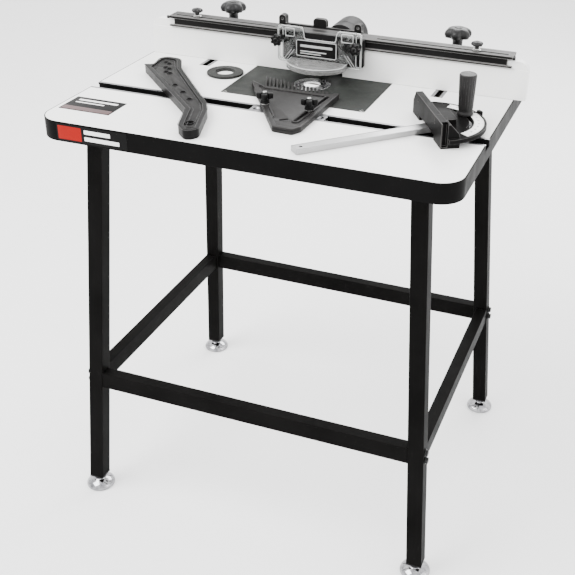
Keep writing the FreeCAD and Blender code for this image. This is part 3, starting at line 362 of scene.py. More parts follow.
def coated(name, light, dark, rough, grain, bump, edge_wear_and_sheen_colour=None, metal=0.0, spec=0.5, patch=9.0):
    """Paint, powder coat or moulded plastic: mottled colour, uneven gloss and a fine grain. An edge colour,
    if given, lightens the edges: partly scuffing, partly painted highlight.
    """
    n = Nodes(name)
    mottle = n.spread(n.noise(patch, 5.0, 0.6), 0.0, 1.0)
    colour = n.blend(mottle, dark, light)
    # Lighter edges: partly scuffing, partly painted highlight.
    if edge_wear_and_sheen_colour is not None:
        colour = n.blend(wear(n), colour, edge_wear_and_sheen_colour)
    smears = n.noise(28, 6.0, 0.65, n.mapped((1.0, 1.0, 0.35)), 0.6)
    normal = n.bump(n.noise(grain, 3.0, 0.6), bump, 0.0003)
    n.set(Base_Color=colour, Roughness=n.spread(smears, rough[0], rough[1], 0.25, 0.75), Normal=normal)
    n.set(Metallic=metal, Specular_IOR_Level=spec)
    return n.material


def laminate(name, light, dark):
    """White laminate with a pebbled face, faint handling marks and fine scratches."""
    n = Nodes(name)
    mottle = n.spread(n.noise(5.0, 6.0, 0.65), 0.0, 1.0)
    colour = n.blend(mottle, dark, light)
    dust = n.spread(n.noise(420, 4.0, 0.8), 0.0, 0.35, 0.66, 0.78)
    colour = n.blend(dust, colour, (0.60, 0.57, 0.52))
    smears = n.noise(14, 7.0, 0.7, n.mapped((0.5, 1.4, 1.0), rotation=(0, 0, 0.5)), 1.2)
    pebble = n.bump(n.cells(950), 0.22, 0.00012)
    scratch = n.noise(900, 2.0, 0.5, n.mapped((0.012, 1.0, 1.0), rotation=(0, 0, 0.35)))
    fine = n.bump(n.spread(scratch, 0.0, 1.0, 0.62, 0.70), 0.12, 0.00008, pebble)
    n.set(Base_Color=colour, Roughness=n.spread(smears, 0.30, 0.50, 0.25, 0.75), Normal=fine)
    n.set(Specular_IOR_Level=0.45)
    return n.material


def extruded(name, light, dark, stretch, rough=(0.26, 0.42), metal=1.0, spec=0.5):
    """Anodised or drawn metal: fine lines along its length, slight clouding and dull spots."""
    n = Nodes(name)
    lines = n.noise(1500, 3.0, 0.6, n.mapped(stretch))
    cloud = n.noise(16, 5.0, 0.6)
    tone = n.add("ShaderNodeMath", operation="MULTIPLY")
    n.link(n.spread(lines, 0.55, 1.0), tone.inputs[0])
    n.link(n.spread(cloud, 0.6, 1.0), tone.inputs[1])
    colour = n.blend(tone.outputs["Value"], dark, light)
    normal = n.bump(lines, 0.18, 0.0001)
    n.set(Base_Color=colour, Roughness=n.spread(cloud, rough[0], rough[1]), Normal=normal)
    n.set(Metallic=metal, Specular_IOR_Level=spec)
    return n.material


def machined(name, light, dark, centre, pitch, rough=(0.16, 0.34)):
    """Metal with turning marks round a centre, in metres."""
    n = Nodes(name)
    around = n.mapped((1, 1, 0), location=(-centre[0], -centre[1], 0))
    rings = n.add("ShaderNodeTexWave", wave_type="RINGS", rings_direction="Z", wave_profile="SIN")
    rings.inputs["Scale"].default_value = 2 * math.pi / (20 * pitch)
    rings.inputs["Distortion"].default_value = 0.4
    rings.inputs["Detail"].default_value = 2.0
    n.link(around, rings.inputs["Vector"])
    cloud = n.noise(60, 5.0, 0.6)
    colour = n.blend(n.spread(cloud, 0.0, 1.0), dark, light)
    normal = n.bump(rings.outputs["Fac"], 0.25, 0.0001)
    n.set(Base_Color=colour, Roughness=n.spread(cloud, rough[0], rough[1]), Normal=normal, Metallic=1.0)
    return n.material


def fibreboard(name):
    n = Nodes(name)
    fibres = n.noise(700, 6.0, 0.75, n.mapped((1, 1, 0.4)))
    colour = n.blend(n.spread(fibres, 0.0, 1.0), (0.060, 0.045, 0.032), (0.115, 0.088, 0.062))
    n.set(Base_Color=colour, Roughness=n.spread(fibres, 0.75, 0.95), Normal=n.bump(fibres, 0.5, 0.0005))
    return n.material


def clear_plastic(name, clear, light, dark):
    """Moulded clear plastic with rub marks and a little haze; clear is the share of light let through."""
    n = Nodes(name)
    haze = n.noise(45, 6.0, 0.7)
    scratch = n.noise(1100, 2.0, 0.5, n.mapped((0.02, 1.0, 1.0), rotation=(0.2, 0.6, 0.4)))
    tint = n.blend(n.spread(haze, 0.0, 1.0), dark, light)
    normal = n.bump(n.spread(scratch, 0.0, 1.0, 0.60, 0.70), 0.02, 0.0001)
    n.set(Base_Color=tint, Roughness=n.spread(haze, 0.03, 0.14), Normal=normal)
    n.set(Transmission_Weight=clear, IOR=1.49, Coat_Weight=0.3, Coat_Roughness=0.04)
    return n.material


def chrome(name):
    n = Nodes(name)
    haze = n.noise(70, 6.0, 0.65)
    colour = n.blend(n.spread(haze, 0.0, 1.0), (0.15, 0.15, 0.16), (0.46, 0.46, 0.47))
    n.set(Base_Color=colour, Roughness=n.spread(haze, 0.04, 0.18), Metallic=1.0)
    n.set(Normal=n.bump(n.noise(900, 3.0, 0.6), 0.02, 0.0001))
    return n.material


WORN_BLACK = (0.0278, 0.0278, 0.0278)
# The lighter grey for the plastics' edges: partly scuffing, partly painted highlight.
WORN_AND_SHEEN_PLASTIC = (0.17, 0.17, 0.17)
WHITE = laminate("white laminate", (0.875, 0.875, 0.865), (0.835, 0.835, 0.822))
BOARD = laminate("fence board face", (0.860, 0.860, 0.845), (0.815, 0.815, 0.798))
EDGE = coated(
    "edge strip", (0.0040, 0.0039, 0.0039), (0.0026, 0.0025, 0.0025),
    (0.34, 0.50), 900, 0.10, WORN_BLACK, spec=0.02,
)
STAND = coated(
    "stand coat", (0.0048, 0.0046, 0.0045), (0.0028, 0.0027, 0.0026),
    (0.32, 0.46), 1300, 0.16, WORN_BLACK, spec=0.01,
)
FENCE = extruded(
    "black anodising", (0.0078, 0.0075, 0.0075), (0.0033, 0.0032, 0.0032),
    (0.01, 1, 1), (0.28, 0.42), 0.0, 0.06,
)
# A lighter copy of the black anodising for the beam's top: painted light.
FENCE_TOP_LIT = extruded(
    "anodising with painted top light", (0.0208, 0.0200, 0.0194), (0.0078, 0.0075, 0.0072),
    (0.01, 1, 1), (0.34, 0.50), 0.0, 0.2,
)
# Lighter copies of the black finishes for the bevel faces: painted highlight along the edges.
BEAM_EDGE_HIGHLIGHT = extruded(
    "anodising edge painted highlight", (0.150, 0.146, 0.142), (0.070, 0.068, 0.066),
    (0.01, 1, 1), (0.30, 0.44), 0.0, 0.2,
)
GAUGE_EDGE_HIGHLIGHT = coated(
    "gauge edge painted highlight", (0.075, 0.072, 0.070), (0.040, 0.039, 0.038),
    (0.32, 0.46), 1200, 0.2, spec=0.1,
)
TRACK = extruded("clear anodising", (0.3220, 0.3220, 0.3290), (0.1960, 0.1960, 0.2030), (0.01, 1, 1))
LINER = extruded("slot anodising", (0.2400, 0.2400, 0.2460), (0.1440, 0.1440, 0.1500), (1, 0.01, 1))
CHANNEL = coated(
    "channel shade", (0.0078, 0.0078, 0.0078), (0.0044, 0.0044, 0.0044),
    (0.45, 0.60), 900, 0.12, spec=0.04,
)
PLATE = coated(
    "insert plate coat", (0.0212, 0.0227, 0.0208), (0.0146, 0.0161, 0.0146),
    (0.42, 0.58), 1500, 0.32, spec=0.09, patch=7.0,
)
CORE = fibreboard("fibreboard")
SCREW = extruded("zinc plate", (0.4960, 0.4960, 0.4800), (0.2720, 0.2720, 0.2720), (1, 1, 1), (0.22, 0.40))
BLACK_SCREW = coated(
    "blackened steel", (0.0089, 0.0089, 0.0089), (0.0044, 0.0044, 0.0044),
    (0.28, 0.45), 900, 0.1, spec=0.2,
)
CHROME = chrome("foot chrome")
KNOB = coated(
    "knob plastic", (0.0153, 0.0153, 0.0153), (0.0083, 0.0083, 0.0083),
    (0.32, 0.46), 1800, 0.16, WORN_AND_SHEEN_PLASTIC, spec=0.2,
)
STAR = coated(
    "star knob plastic", (0.0075, 0.0074, 0.0074), (0.0040, 0.0040, 0.0040),
    (0.30, 0.44), 1800, 0.16, WORN_AND_SHEEN_PLASTIC, spec=0.06,
)
HOUSING = coated(
    "housing plastic", (0.0078, 0.0075, 0.0075), (0.0044, 0.0043, 0.0043),
    (0.34, 0.50), 1600, 0.25, WORN_AND_SHEEN_PLASTIC, spec=0.08,
)
PORT = coated(
    "port plastic", (0.0160, 0.0155, 0.0155), (0.0105, 0.0100, 0.0100),
    (0.38, 0.52), 1500, 0.22, WORN_AND_SHEEN_PLASTIC, spec=0.08,
)
FEATHER = coated(
    "featherboard plastic", (0.0179, 0.0169, 0.0164), (0.0111, 0.0106, 0.0106),
    (0.34, 0.48), 1500, 0.22, WORN_AND_SHEEN_PLASTIC, spec=0.09,
)
STICK = coated(
    "push stick plastic", (0.0136, 0.0132, 0.0128), (0.0086, 0.0082, 0.0082),
    (0.34, 0.50), 1500, 0.24, WORN_AND_SHEEN_PLASTIC, spec=0.05,
)
# A darker copy of the stick plastic for its rims and hole sleeves: painted shade.
STICK_RIM_SHADED = coated(
    "push stick rim, painted shade", (0.0090, 0.0085, 0.0085), (0.0050, 0.0049, 0.0049),
    (0.30, 0.44), 1500, 0.18, WORN_AND_SHEEN_PLASTIC, spec=0.05,
)
# Pale grey for thin beads on the stick's top edges: painted highlight.
STICK_EDGE_HIGHLIGHT = coated(
    "stick edge painted highlight", (0.060, 0.058, 0.057), (0.028, 0.027, 0.027),
    (0.32, 0.46), 1500, 0.2, spec=0.1,
)
RING_GREY = coated(
    "ring plastic", (0.0179, 0.0183, 0.0175), (0.0125, 0.0129, 0.0121),
    (0.32, 0.46), 1500, 0.2, WORN_AND_SHEEN_PLASTIC, spec=0.06,
)
GAUGE_BLACK = coated(
    "gauge coat", (0.0061, 0.0058, 0.0058), (0.0033, 0.0032, 0.0032),
    (0.32, 0.46), 1200, 0.2, WORN_AND_SHEEN_PLASTIC, spec=0.02,
)
GAUGE_DARK = coated(
    "gauge shade", (0.0048, 0.0047, 0.0047), (0.0027, 0.0027, 0.0027),
    (0.36, 0.50), 1200, 0.2, spec=0.03,
)
HANDLE = coated(
    "handle plastic", (0.020, 0.019, 0.019), (0.0067, 0.0064, 0.0064),
    (0.34, 0.48), 1600, 0.18, WORN_AND_SHEEN_PLASTIC, spec=0.17,
)
GAUGE_BAR = extruded(
    "gauge bar", (0.4300, 0.4300, 0.4300), (0.2700, 0.2700, 0.2750),
    (0.02, 0.02, 1), (0.28, 0.44),
)
SCALE_WHITE = coated("scale face", (0.84, 0.84, 0.82), (0.76, 0.76, 0.74), (0.34, 0.48), 1200, 0.06)
PRINT_DARK = coated(
    "dark print", (0.0085, 0.0082, 0.0082), (0.0055, 0.0055, 0.0055),
    (0.30, 0.44), 1200, 0.05, spec=0.03,
)
PRINT_PALE = coated("pale print", (0.80, 0.80, 0.79), (0.72, 0.72, 0.71), (0.30, 0.44), 1200, 0.05)
PRINT_RED = coated(
    "red print", (0.2600, 0.0085, 0.0060), (0.2100, 0.0062, 0.0046),
    (0.30, 0.42), 1200, 0.05, spec=0.05,
)
PRINT_MAROON = coated(
    "maroon print", (0.0506, 0.0132, 0.0132), (0.0369, 0.0101, 0.0101),
    (0.30, 0.42), 1200, 0.05,
)
CLEAR = clear_plastic("clear plastic", 1.0, (0.96, 0.98, 0.97), (0.90, 0.93, 0.92))
VISOR = clear_plastic("visor plastic", 0.6, (0.3600, 0.3600, 0.3550), (0.2700, 0.2700, 0.2650))
# Pale, less clear plastic: painted highlight on the guard and visor beads, and pale print on the label.
RIM_HIGHLIGHT_AND_PRINT = clear_plastic("rim painted highlight and label print", 0.45, (0.72, 0.73, 0.72), (0.56, 0.57, 0.56))


# ================= CAD nodes that keep their shape =================

def dress(node, material, edge=0.4, edge_highlight=None, segments=2, angle=32, clamp=False):
    """A CAD node gets its material, and its hard corners a small radius, in millimetres. A second material,
    if given, paints a highlight on the bevel faces.
    """
    obj = nodes[node]
    mesh = obj.data
    mesh.materials.clear()
    mesh.materials.append(material)
    if edge_highlight:
        mesh.materials.append(edge_highlight)
    if "custom_normal" in mesh.attributes:
        mesh.attributes.remove(mesh.attributes["custom_normal"])
    soften(mesh, angle)
    obj.modifiers.new("weld", "WELD").merge_threshold = 2e-6
    flat = obj.modifiers.new("flat", "DECIMATE")
    flat.decimate_type = "DISSOLVE"
    flat.angle_limit = math.radians(0.5)
    if edge > 0:
        bevel = obj.modifiers.new("bevel", "BEVEL")
        bevel.width = edge * MM
        bevel.segments = segments
        bevel.limit_method = "ANGLE"
        bevel.angle_limit = math.radians(angle)
        bevel.use_clamp_overlap = clamp
        bevel.harden_normals = False
        if edge_highlight:
            bevel.material = 1
    smooth = obj.modifiers.new("normals", "WEIGHTED_NORMAL")
    smooth.keep_sharp = True


FINISHES = {
    "laminate_top": (WHITE, 0.25), "laminate_underside": (WHITE, 0.0), "edge_band": (EDGE, 0.6),
    "table_core": (CORE, 0.0), "mitre_track": (TRACK, 0.25), "slot_liners": (LINER, 0.2),
    "insert_plate": (PLATE, 0.3), "table_screws": (SCREW, 0.12),
    "stand_bolts": (BLACK_SCREW, 0.3), "leg_plugs": (HOUSING, 0.4), "clamp_bolts": (SCREW, 0.4),
    "fence_beam": (FENCE, 0.9), "fence_arms": (FENCE, 0.5), "fence_screws": (BLACK_SCREW, 0.3),
    "board_left": (BOARD, 0.5), "board_right": (BOARD, 0.5), "chip_housing": (HOUSING, 0.6),
    "dust_port": (PORT, 0.4), "guard_bracket": (HOUSING, 0.5),
    "mitre_pointer": (GAUGE_DARK, 0.4), "guard_studs": (SCREW, 0.3),
    "slot_bar": (TRACK, 0.4), "feather_studs": (SCREW, 0.3), "mitre_bar": (GAUGE_BAR, 0.35),
    "mitre_pins": (SCREW, 0.3), "mitre_face_screws": (BLACK_SCREW, 0.3),
    "mitre_head": (GAUGE_BLACK, 0.4), "mitre_face": (GAUGE_BLACK, 0.6),
}
for side in ("front", "back", "left", "right"):
    FINISHES["rail_" + side] = (STAND, 0.9)
CORNERS = ("front_left", "front_right", "back_left", "back_right")
for corner in CORNERS:
    FINISHES["leg_" + corner] = (STAND, 1.6)
# These nodes take a lighter material on their bevels: painted highlight along the edges.
EDGE_HIGHLIGHTS = {
    "fence_beam": BEAM_EDGE_HIGHLIGHT, "chip_housing": BEAM_EDGE_HIGHLIGHT,
    "mitre_face": GAUGE_EDGE_HIGHLIGHT, "mitre_head": GAUGE_EDGE_HIGHLIGHT,
}
for node, (material, edge) in FINISHES.items():
    dress(node, material, edge, EDGE_HIGHLIGHTS.get(node))


def second_finish(node, material, wanted):
    """Gives another material to the faces whose centre and normal pass a test."""
    mesh = nodes[node].data
    mesh.materials.append(material)
    for face in mesh.polygons:
        if wanted(face.center / MM, face.normal):
            face.material_index = len(mesh.materials) - 1


def middle(node):
    lo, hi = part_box(node)
    return (lo + hi) / 2 / MM


def height(node):
    lo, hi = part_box(node)
    return lo.z / MM, hi.z / MM


TABLE_X = middle("laminate_top").x
TOP = height("laminate_top")[1]
second_finish("mitre_track", CHANNEL, lambda centre, normal: centre.z < TOP - 1)
second_finish("slot_liners", CHANNEL, lambda centre, normal: centre.z < TOP - 1)
# The beam's upward faces take the lighter copy: painted light on the top.
second_finish("fence_beam", FENCE_TOP_LIT, lambda centre, normal: normal.z > 0.9 and centre.z > TOP + 70)


# ================= turned and scalloped pieces =================

def scallops(count, depth, sharp=1.6):
    """Shapes a grip: its rim goes in and out, and its middle stays round."""
    def shape(angle, radius, z):
        wave = (0.5 + 0.5 * math.cos(count * angle)) ** sharp
        return 1.0 - depth * wave
    return shape


def mushroom(node, lobes, post, head):
    """A clamp knob: a post that flares into an overhanging, scalloped dome."""
    lo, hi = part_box(node)
    mid = (lo + hi) / 2 / MM
    top = hi.z / MM
    rim = (hi.x - lo.x) / 2 / MM
    low = top - head
    shape = scallops(lobes, 0.19)

    def grip(angle, radius, z):
        if z < low - 0.01 or radius < rim * 0.5:
            return 1.0
        part = min(1.0, (radius - rim * 0.5) / (rim * 0.4))
        return 1.0 - (1.0 - shape(angle, radius, z)) * part

    if post > 8:
        foot = lo.z / MM
        profile = [
            (post * 0.55, foot), (post * 0.98, foot), (post * 1.04, foot + 0.6), (post * 1.04, foot + 4),
            (post, foot + 5), (post, low - 9), (post * 1.04, low - 5), (post * 1.25, low - 1.5),
        ]
    else:
        foot = low - 8
        profile = [
            (post * 0.55, foot), (post * 0.85, foot), (post * 0.85, low - 2), (post * 1.1, low - 0.6),
        ]
    for k in range(1, 5):
        t = k / 4
        profile.append((rim * (0.45 + 0.50 * t), low + head * 0.10 * t * t))
    for k in range(0, 13):
        a = math.radians(-38 + 128 * k / 12)
        radius = rim * (0.60 + 0.40 * math.cos(a)) if a < 0 else rim * math.cos(a) ** 0.62
        z = low + head * (0.36 + 0.62 * math.sin(a)) if a > 0 else low + head * (0.36 + 0.40 * math.sin(a))
        profile.append((max(radius, rim * 0.02), z))
    parts = [moved(polar_mesh(profile, grip, 180), shift(mid.x, mid.y, 0))]
    cap = [(0.30, -1.6), (0.30, 0.0), (0.27, 0.35), (0.22, 0.1), (0.01, 0.0)]
    cap_mesh = polar_mesh([(rim * r, top + z) for r, z in cap], None, 64)
    parts.append(moved(cap_mesh, shift(mid.x, mid.y, 0)))
    return joined(parts)


def clover(lobes, reach, lobe, hub):
    """The outline of round lobes about a hub, as a scale of the largest radius."""
    largest = reach + lobe

    def shape(angle, radius, z):
        step = 2 * math.pi / lobes
        off = (angle + step / 2) % step - step / 2
        side = reach * math.sin(off)
        out = hub
        if abs(side) < lobe:
            out = max(hub, reach * math.cos(off) + math.sqrt(lobe * lobe - side * side))
        return out / largest
    return shape


def star(radius, grip_h, hub_h, shape):
    """A star grip on its hub, standing up from Z = 0, with a round boss in its top."""
    r = radius
    sides = [
        (0.90, 0.0), (0.97, 0.05), (1.0, 0.14), (1.0, 0.70),
        (0.985, 0.82), (0.94, 0.92), (0.86, 0.985), (0.76, 1.0),
    ]
    outside = [(r * k, hub_h + grip_h * t) for k, t in sides]
    grip = polar_mesh([(r * 0.3, hub_h), *outside, (r * 0.3, hub_h + grip_h)], shape, 192)
    hub = polar_mesh([
        (r * 0.35, 0), (r * 0.55, 0), (r * 0.58, 0.4), (r * 0.52, hub_h * 0.5), (r * 0.56, hub_h + 0.4),
        (r * 0.3, hub_h + 0.5),
    ], None, 64)
    boss = polar_mesh([
        (r * 0.30, hub_h + grip_h - 0.5), (r * 0.42, hub_h + grip_h - 0.4), (r * 0.42, hub_h + grip_h + 0.8),
        (r * 0.38, hub_h + grip_h + 1.2), (r * 0.28, hub_h + grip_h + 1.2), (r * 0.25, hub_h + grip_h + 0.2),
        (r * 0.05, hub_h + grip_h + 0.2),
    ], None, 64)
    return [grip, hub, boss]


for side in ("left", "right"):
    node = "clamp_knob_" + side
    piece("clamp_knob_%s_grip" % side, mushroom(node, 6, 10.4, 22), node, KNOB, [node])

    node = "board_knob_" + side
    knob = mushroom(node, 5, 5.5, 8.6)
    stud_z = height(node)[0]
    centre = middle(node)
    roof = height("fence_beam")[1]
    screw_end = polar_mesh([
        (2.0, stud_z), (2.9, stud_z + 0.8), (2.9, roof + 2), (2.0, roof + 2.5),
    ], None, 32)
    piece("board_knob_%s_grip" % side, knob, node, KNOB, [node])
    seat = polar_mesh([
        (3.2, roof + 0.4), (8.0, roof + 0.4), (8.5, roof + 0.8), (8.5, roof + 2.0), (7.6, roof + 2.7),
        (6.6, roof + 3.0), (6.2, roof + 4.4), (3.2, roof + 4.4),
    ], None, 64)
    on_knob = shift(centre.x, centre.y, 0)
    piece("board_knob_%s_seat" % side, moved(seat, on_knob), node, SCREW)
    piece("board_knob_%s_stud" % side, moved(screw_end, on_knob), node, SCREW)

    # the guard's knobs face the front, on studs that stand out through them
    node = "guard_knob_" + side
    lo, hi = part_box(node)
    centre = middle(node)
    face_front = shift(centre.x, hi.y / MM, centre.z) @ Matrix.Rotation(math.radians(90), 4, "X")
    parts = star(12.5, 9, 20, clover(7, 9.6, 2.9, 9.7))
    piece("guard_knob_%s_star" % side, moved(joined(parts), face_front), node, STAR, [node])

    node = "feather_knob_" + side
    lo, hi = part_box(node)
    centre = middle(node)
    parts = star(16, 11, 9, clover(4, 10.2, 5.8, 6.2))
    stand_up = Matrix.Translation((centre.x * MM, centre.y * MM, lo.z)) @ spin(20)
    piece("feather_knob_%s_star" % side, moved(joined(parts), stand_up), node, STAR, [node])
    end = polar_mesh([
        (3.2, 20.4), (3.8, 20.6), (3.8, 21.6), (3.2, 22.3), (1.6, 22.4), (1.4, 21.6), (0.1, 21.6),
    ], None, 48)
    piece("feather_knob_%s_end" % side, moved(end, stand_up), node, SCREW)

# ---- feet: a chromed dome with a hexagon above it and a threaded stem ----
FOOT_PROFILE = [
    (0.5, 0), (27.5, 0), (30.2, 0.8), (31.0, 2.4), (31.0, 4.6), (30.2, 7.0), (28.4, 9.4),
    (25.6, 12.0), (22.0, 14.4), (18.0, 16.4), (14.4, 17.8), (12.6, 18.8), (12.0, 19.8),
]


def hexagon(angle, radius, z):
    return math.cos(math.pi / 6) / math.cos((angle % (math.pi / 3)) - math.pi / 6)


for corner in CORNERS:
    node = "foot_" + corner
    centre = middle(node)
    dome = polar_mesh(FOOT_PROFILE + [(4, 19.9)], None, 128)
    nut = polar_mesh([
        (5, 19.2), (9.6, 19.2), (10.6, 20.0), (10.6, 23.2), (9.6, 24.0), (5, 24.0),
    ], hexagon, 96)
    thread = [(4.0, 23.5)]
    for k in range(14):
        thread += [(4.95, 24 + k * 1.6), (4.35, 24.8 + k * 1.6)]
    thread.append((2.0, 46.6))
    stem = polar_mesh(thread, None, 48)
    at = shift(centre.x, centre.y, 0)
    piece(node + "_dome", moved(joined([dome, nut]), at), node, CHROME, [node])
    piece(node + "_stem", moved(stem, at), node, SCREW)

# ---- cutter rings, turned with fine steps ----
centre = middle("insert_ring")
RING_METAL = machined(
    "turned rings", (0.66, 0.66, 0.66), (0.40, 0.40, 0.41), (centre.x * MM, centre.y * MM), 0.0007,
)


def ring_profile(bore, step, rim, low, high, rebate):
    return [
        (bore, low + 0.4), (bore + 0.4, low), (rim - 1.0, low),
        (rim, low + 1.0), (rim, high - 0.9), (rim - 0.9, high),
        (bore + step + 0.3, high), (bore + step, high - 0.3),
        (bore + step, high - rebate), (bore + 0.3, high - rebate),
        (bore, high - rebate - 0.3), (bore, low + 0.4),
    ]


def hoop_mesh(profile, segments=144):
    """A turned ring: its profile closes on itself instead of meeting the axis."""
    turns = [2 * math.pi * i / segments for i in range(segments)]
    rings = [[(r * math.cos(a) * MM, r * math.sin(a) * MM, z * MM) for a in turns] for r, z in profile]
    return loft_mesh(rings, closed=False)


low, high = height("insert_ring")
outer_ring = moved(hoop_mesh(ring_profile(26, 3, 38, low, high, 1.6)), shift(centre.x, centre.y, 0))
piece("insert_ring_turned", outer_ring, "cutter_rings", RING_METAL, ["insert_ring"])
low, high = height("inner_ring")
inner_profile = [
    (17, low + 0.4), (17.4, low), (25.2, low), (25.6, low + 0.4),
    (25.6, high - 1.6), (28.2, high - 1.6), (28.6, high - 1.2), (28.6, high - 0.3), (28.3, high),
    (24.5, high), (24.2, high - 0.5), (21.2, high - 0.5), (20.9, high), (17.6, high),
    (17, high - 0.6), (17, low + 0.4),
]
inner = moved(hoop_mesh(inner_profile), shift(centre.x, centre.y, 0))
piece("inner_ring_turned", inner, "cutter_rings", RING_METAL, ["inner_ring"])
centre = middle("spare_ring")
low, high = height("spare_ring")
spare = moved(hoop_mesh(ring_profile(17, 3, 38, low, high, 1.6)), shift(centre.x, centre.y, 0))
piece("spare_ring_turned", spare, "spare_ring", RING_GREY, ["spare_ring"])

# ================= featherboard =================
feather_z = height("featherboard")[0]
BODY = rounded(
    [(29, -217), (68, -219), (78, -200), (82, -4), (60, -20), (-72, -20), (-113, 6)], [8, 6, 12, 3, 2, 2, 3],
)
POCKET = rounded([(33, -207), (65, -209), (70, -196), (73, -31), (-66, -31), (-92, -9)], [4, 4, 6, 3, 3, 3])
KNOB_AT = (middle("feather_knob_left").x - TABLE_X, middle("feather_knob_right").x - TABLE_X)
TRACK_AT = middle("feather_knob_left").y
SLOT_TURNS = (33, -4)
SLOT_REACH = ((-66, 122), (-62, 88))


def stadium(half, low, high, turn, x, y, grow=0.0):
    points = rect(-half - grow, half + grow, low - grow, high + grow)
    return rounded(turned(points, turn, x, y), half + grow - 0.1, 8)


slots = []
ridges = []
for x, turn, (low, high) in zip(KNOB_AT, SLOT_TURNS, SLOT_REACH):
    slots.append(stadium(3.5, low, min(high, 88), turn, x, TRACK_AT))
    ridges.append((turn, x, low, min(high, 88)))
hang = rounded(turned(rect(-9, 9, -3, 3), 40, 33, -172), 2.8)
parts = [
    flat_mesh([BODY, *slots, hang], feather_z, feather_z + 8.2, 0.5),
    flat_mesh([BODY, POCKET], feather_z + 5, feather_z + 11, 0.8),
]
for turn, x, low, high in ridges:
    loops = [stadium(3.5, low, high, turn, x, TRACK_AT, 4.0), stadium(3.5, low, high, turn, x, TRACK_AT)]
    parts.append(flat_mesh(loops, feather_z + 6, feather_z + 10.4, 0.7))
FINGERS = 17
for i in range(FINGERS):
    t = i / (FINGERS - 1)
    root = -66 + 128 * t
    reach = 60 - 38 * t
    tip_x = root - 0.42 * reach
    tip_y = -20 + reach
    half = 2.1
    points = [(root - half, -26), (root + half, -26), (tip_x + half, tip_y), (tip_x - half, tip_y - 2)]
    parts.append(flat_mesh([rounded(points, [0, 0, 1.2, 1.2], 3)], feather_z + 0.5, feather_z + 9.4, 0.6))
on_table = shift(TABLE_X, 0, 0)
moulding = moved(joined(parts), on_table)
piece("featherboard_moulding", moulding, "featherboard", FEATHER, ["featherboard"])

# ================= push stick =================
stick_z, stick_top = height("push_stick")
STICK_OUT = [
    (-338, 52), (-292, 50), (-264, -4), (-124, -170), (-107, -200), (-78, -292), (-93, -316), (-120, -290),
    (-147, -210), (-344, -12), (-327, -3),
]
STICK_OUT_R = [18, 24, 30, 20, 30, 14, 12, 12, 12, 1.5, 1.5]
STICK_IN = [
    (-331, 45), (-298, 43), (-271, -7), (-130, -174), (-114, -202), (-86, -289), (-94, -306), (-112, -287),
    (-139, -207), (-326, -19),
]
STICK_IN_R = [12, 18, 26, 14, 24, 8, 6, 8, 8, 6]
STICK_RIDGE = [
    (-327, 40), (-301, 38), (-275, -9), (-134, -176), (-119, -204), (-93, -285), (-96, -297), (-106, -284),
    (-133, -204), (-313, -28),
]
HOLES = [
    (-312, 22), (-302, 16), (-297, -8), (-286, -14), (-283, -32), (-272, -38),
    (-228, -98), (-195, -128), (-165, -159),
]
HOLE_R = 4.4
stick_outline = rounded(STICK_OUT, STICK_OUT_R, 10)
stick_pocket = rounded(STICK_IN, STICK_IN_R, 10)


def hang_slot(grow):
    """The slot that the stick hangs by, made larger by the same amount all round."""
    half_l = 8 + grow
    half_w = 5.5 + grow
    return rounded(turned(rect(-half_l, half_l, -half_w, half_w), 60, -107, -270), half_w - 0.2, 8)


def level_loop(outline, z):
    """A flat outline as points in metres at one height."""
    return [Vector((p[0], p[1], z * MM)) for p in outline]


web_inset = 2.0
web_holes = [circle(x, y, HOLE_R - web_inset) for x, y in HOLES]
web_loops = [stick_outline, *web_holes, hang_slot(-web_inset)]
web = flat_mesh(web_loops, stick_z + 3, stick_top - 2.6, 0.4, web_inset)
ridge = level_loop(rounded(STICK_RIDGE, [9, 14, 24, 12, 20, 6, 4, 6, 6, 5], 8), stick_top - 2.4)
moulding = moved(joined([web, tube_mesh(ridge, 0.7, True, 8)]), on_table)
piece("push_stick_moulding", moulding, "push_stick", STICK, ["push_stick"])
# The rims and the sleeves round the holes take the darker copy: painted shade, the sleeves darkening the
# holes.
rims = [
    flat_mesh([stick_outline, stick_pocket], stick_z, stick_top, 1.1),
    flat_mesh([hang_slot(2.5), hang_slot(0)], stick_z + 1, stick_top - 0.8, 0.8),
]
for x, y in HOLES:
    collar = [circle(x, y, HOLE_R + 1.6, 28), circle(x, y, HOLE_R, 28)]
    rims.append(flat_mesh(collar, stick_z + 3, stick_top - 1.6, 0.5))
piece("push_stick_rim", moved(joined(rims), on_table), "push_stick", STICK_RIM_SHADED)
# Thin pale beads along the top edges of the rim and the pocket: painted highlight.
edges = []
for loop, inset, radii in ((STICK_OUT, 0.7, STICK_OUT_R), (STICK_IN, -0.7, STICK_IN_R)):
    line = level_loop(rounded(inset_loop(loop, inset), radii, 10), stick_top - 0.4)
    edges.append(tube_mesh(line, 0.5, True, 8))
piece("push_stick_edge_highlights", moved(joined(edges), on_table), "push_stick", STICK_EDGE_HIGHLIGHT)

# ================= clear guard =================
guard_lo, guard_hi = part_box("guard_plate")
gx0, gx1 = guard_lo.x / MM, guard_hi.x / MM
gz0, gz1 = guard_lo.z / MM, guard_hi.z / MM
front, back = guard_lo.y / MM, guard_hi.y / MM
mid_x = (gx0 + gx1) / 2
notch_l, notch_r, notch_z = mid_x - 35, mid_x + 38, TOP + 77
OUTLINE = [
    (gx0, gz0), (gx1, gz0), (gx1, gz1), (notch_r, gz1),
    (notch_r - 4, notch_z), (notch_l + 4, notch_z), (notch_l, gz1), (gx0, gz1),
]
OUTLINE_R = [7, 7, 8, 9, 5, 5, 9, 8]
stud_x = (middle("guard_knob_left").x, middle("guard_knob_right").x)
slot_loops = [rounded(rect(x - 3.2, x + 3.2, TOP + 31, TOP + 95), 3.1, 8) for x in stud_x]
thickness = back - front


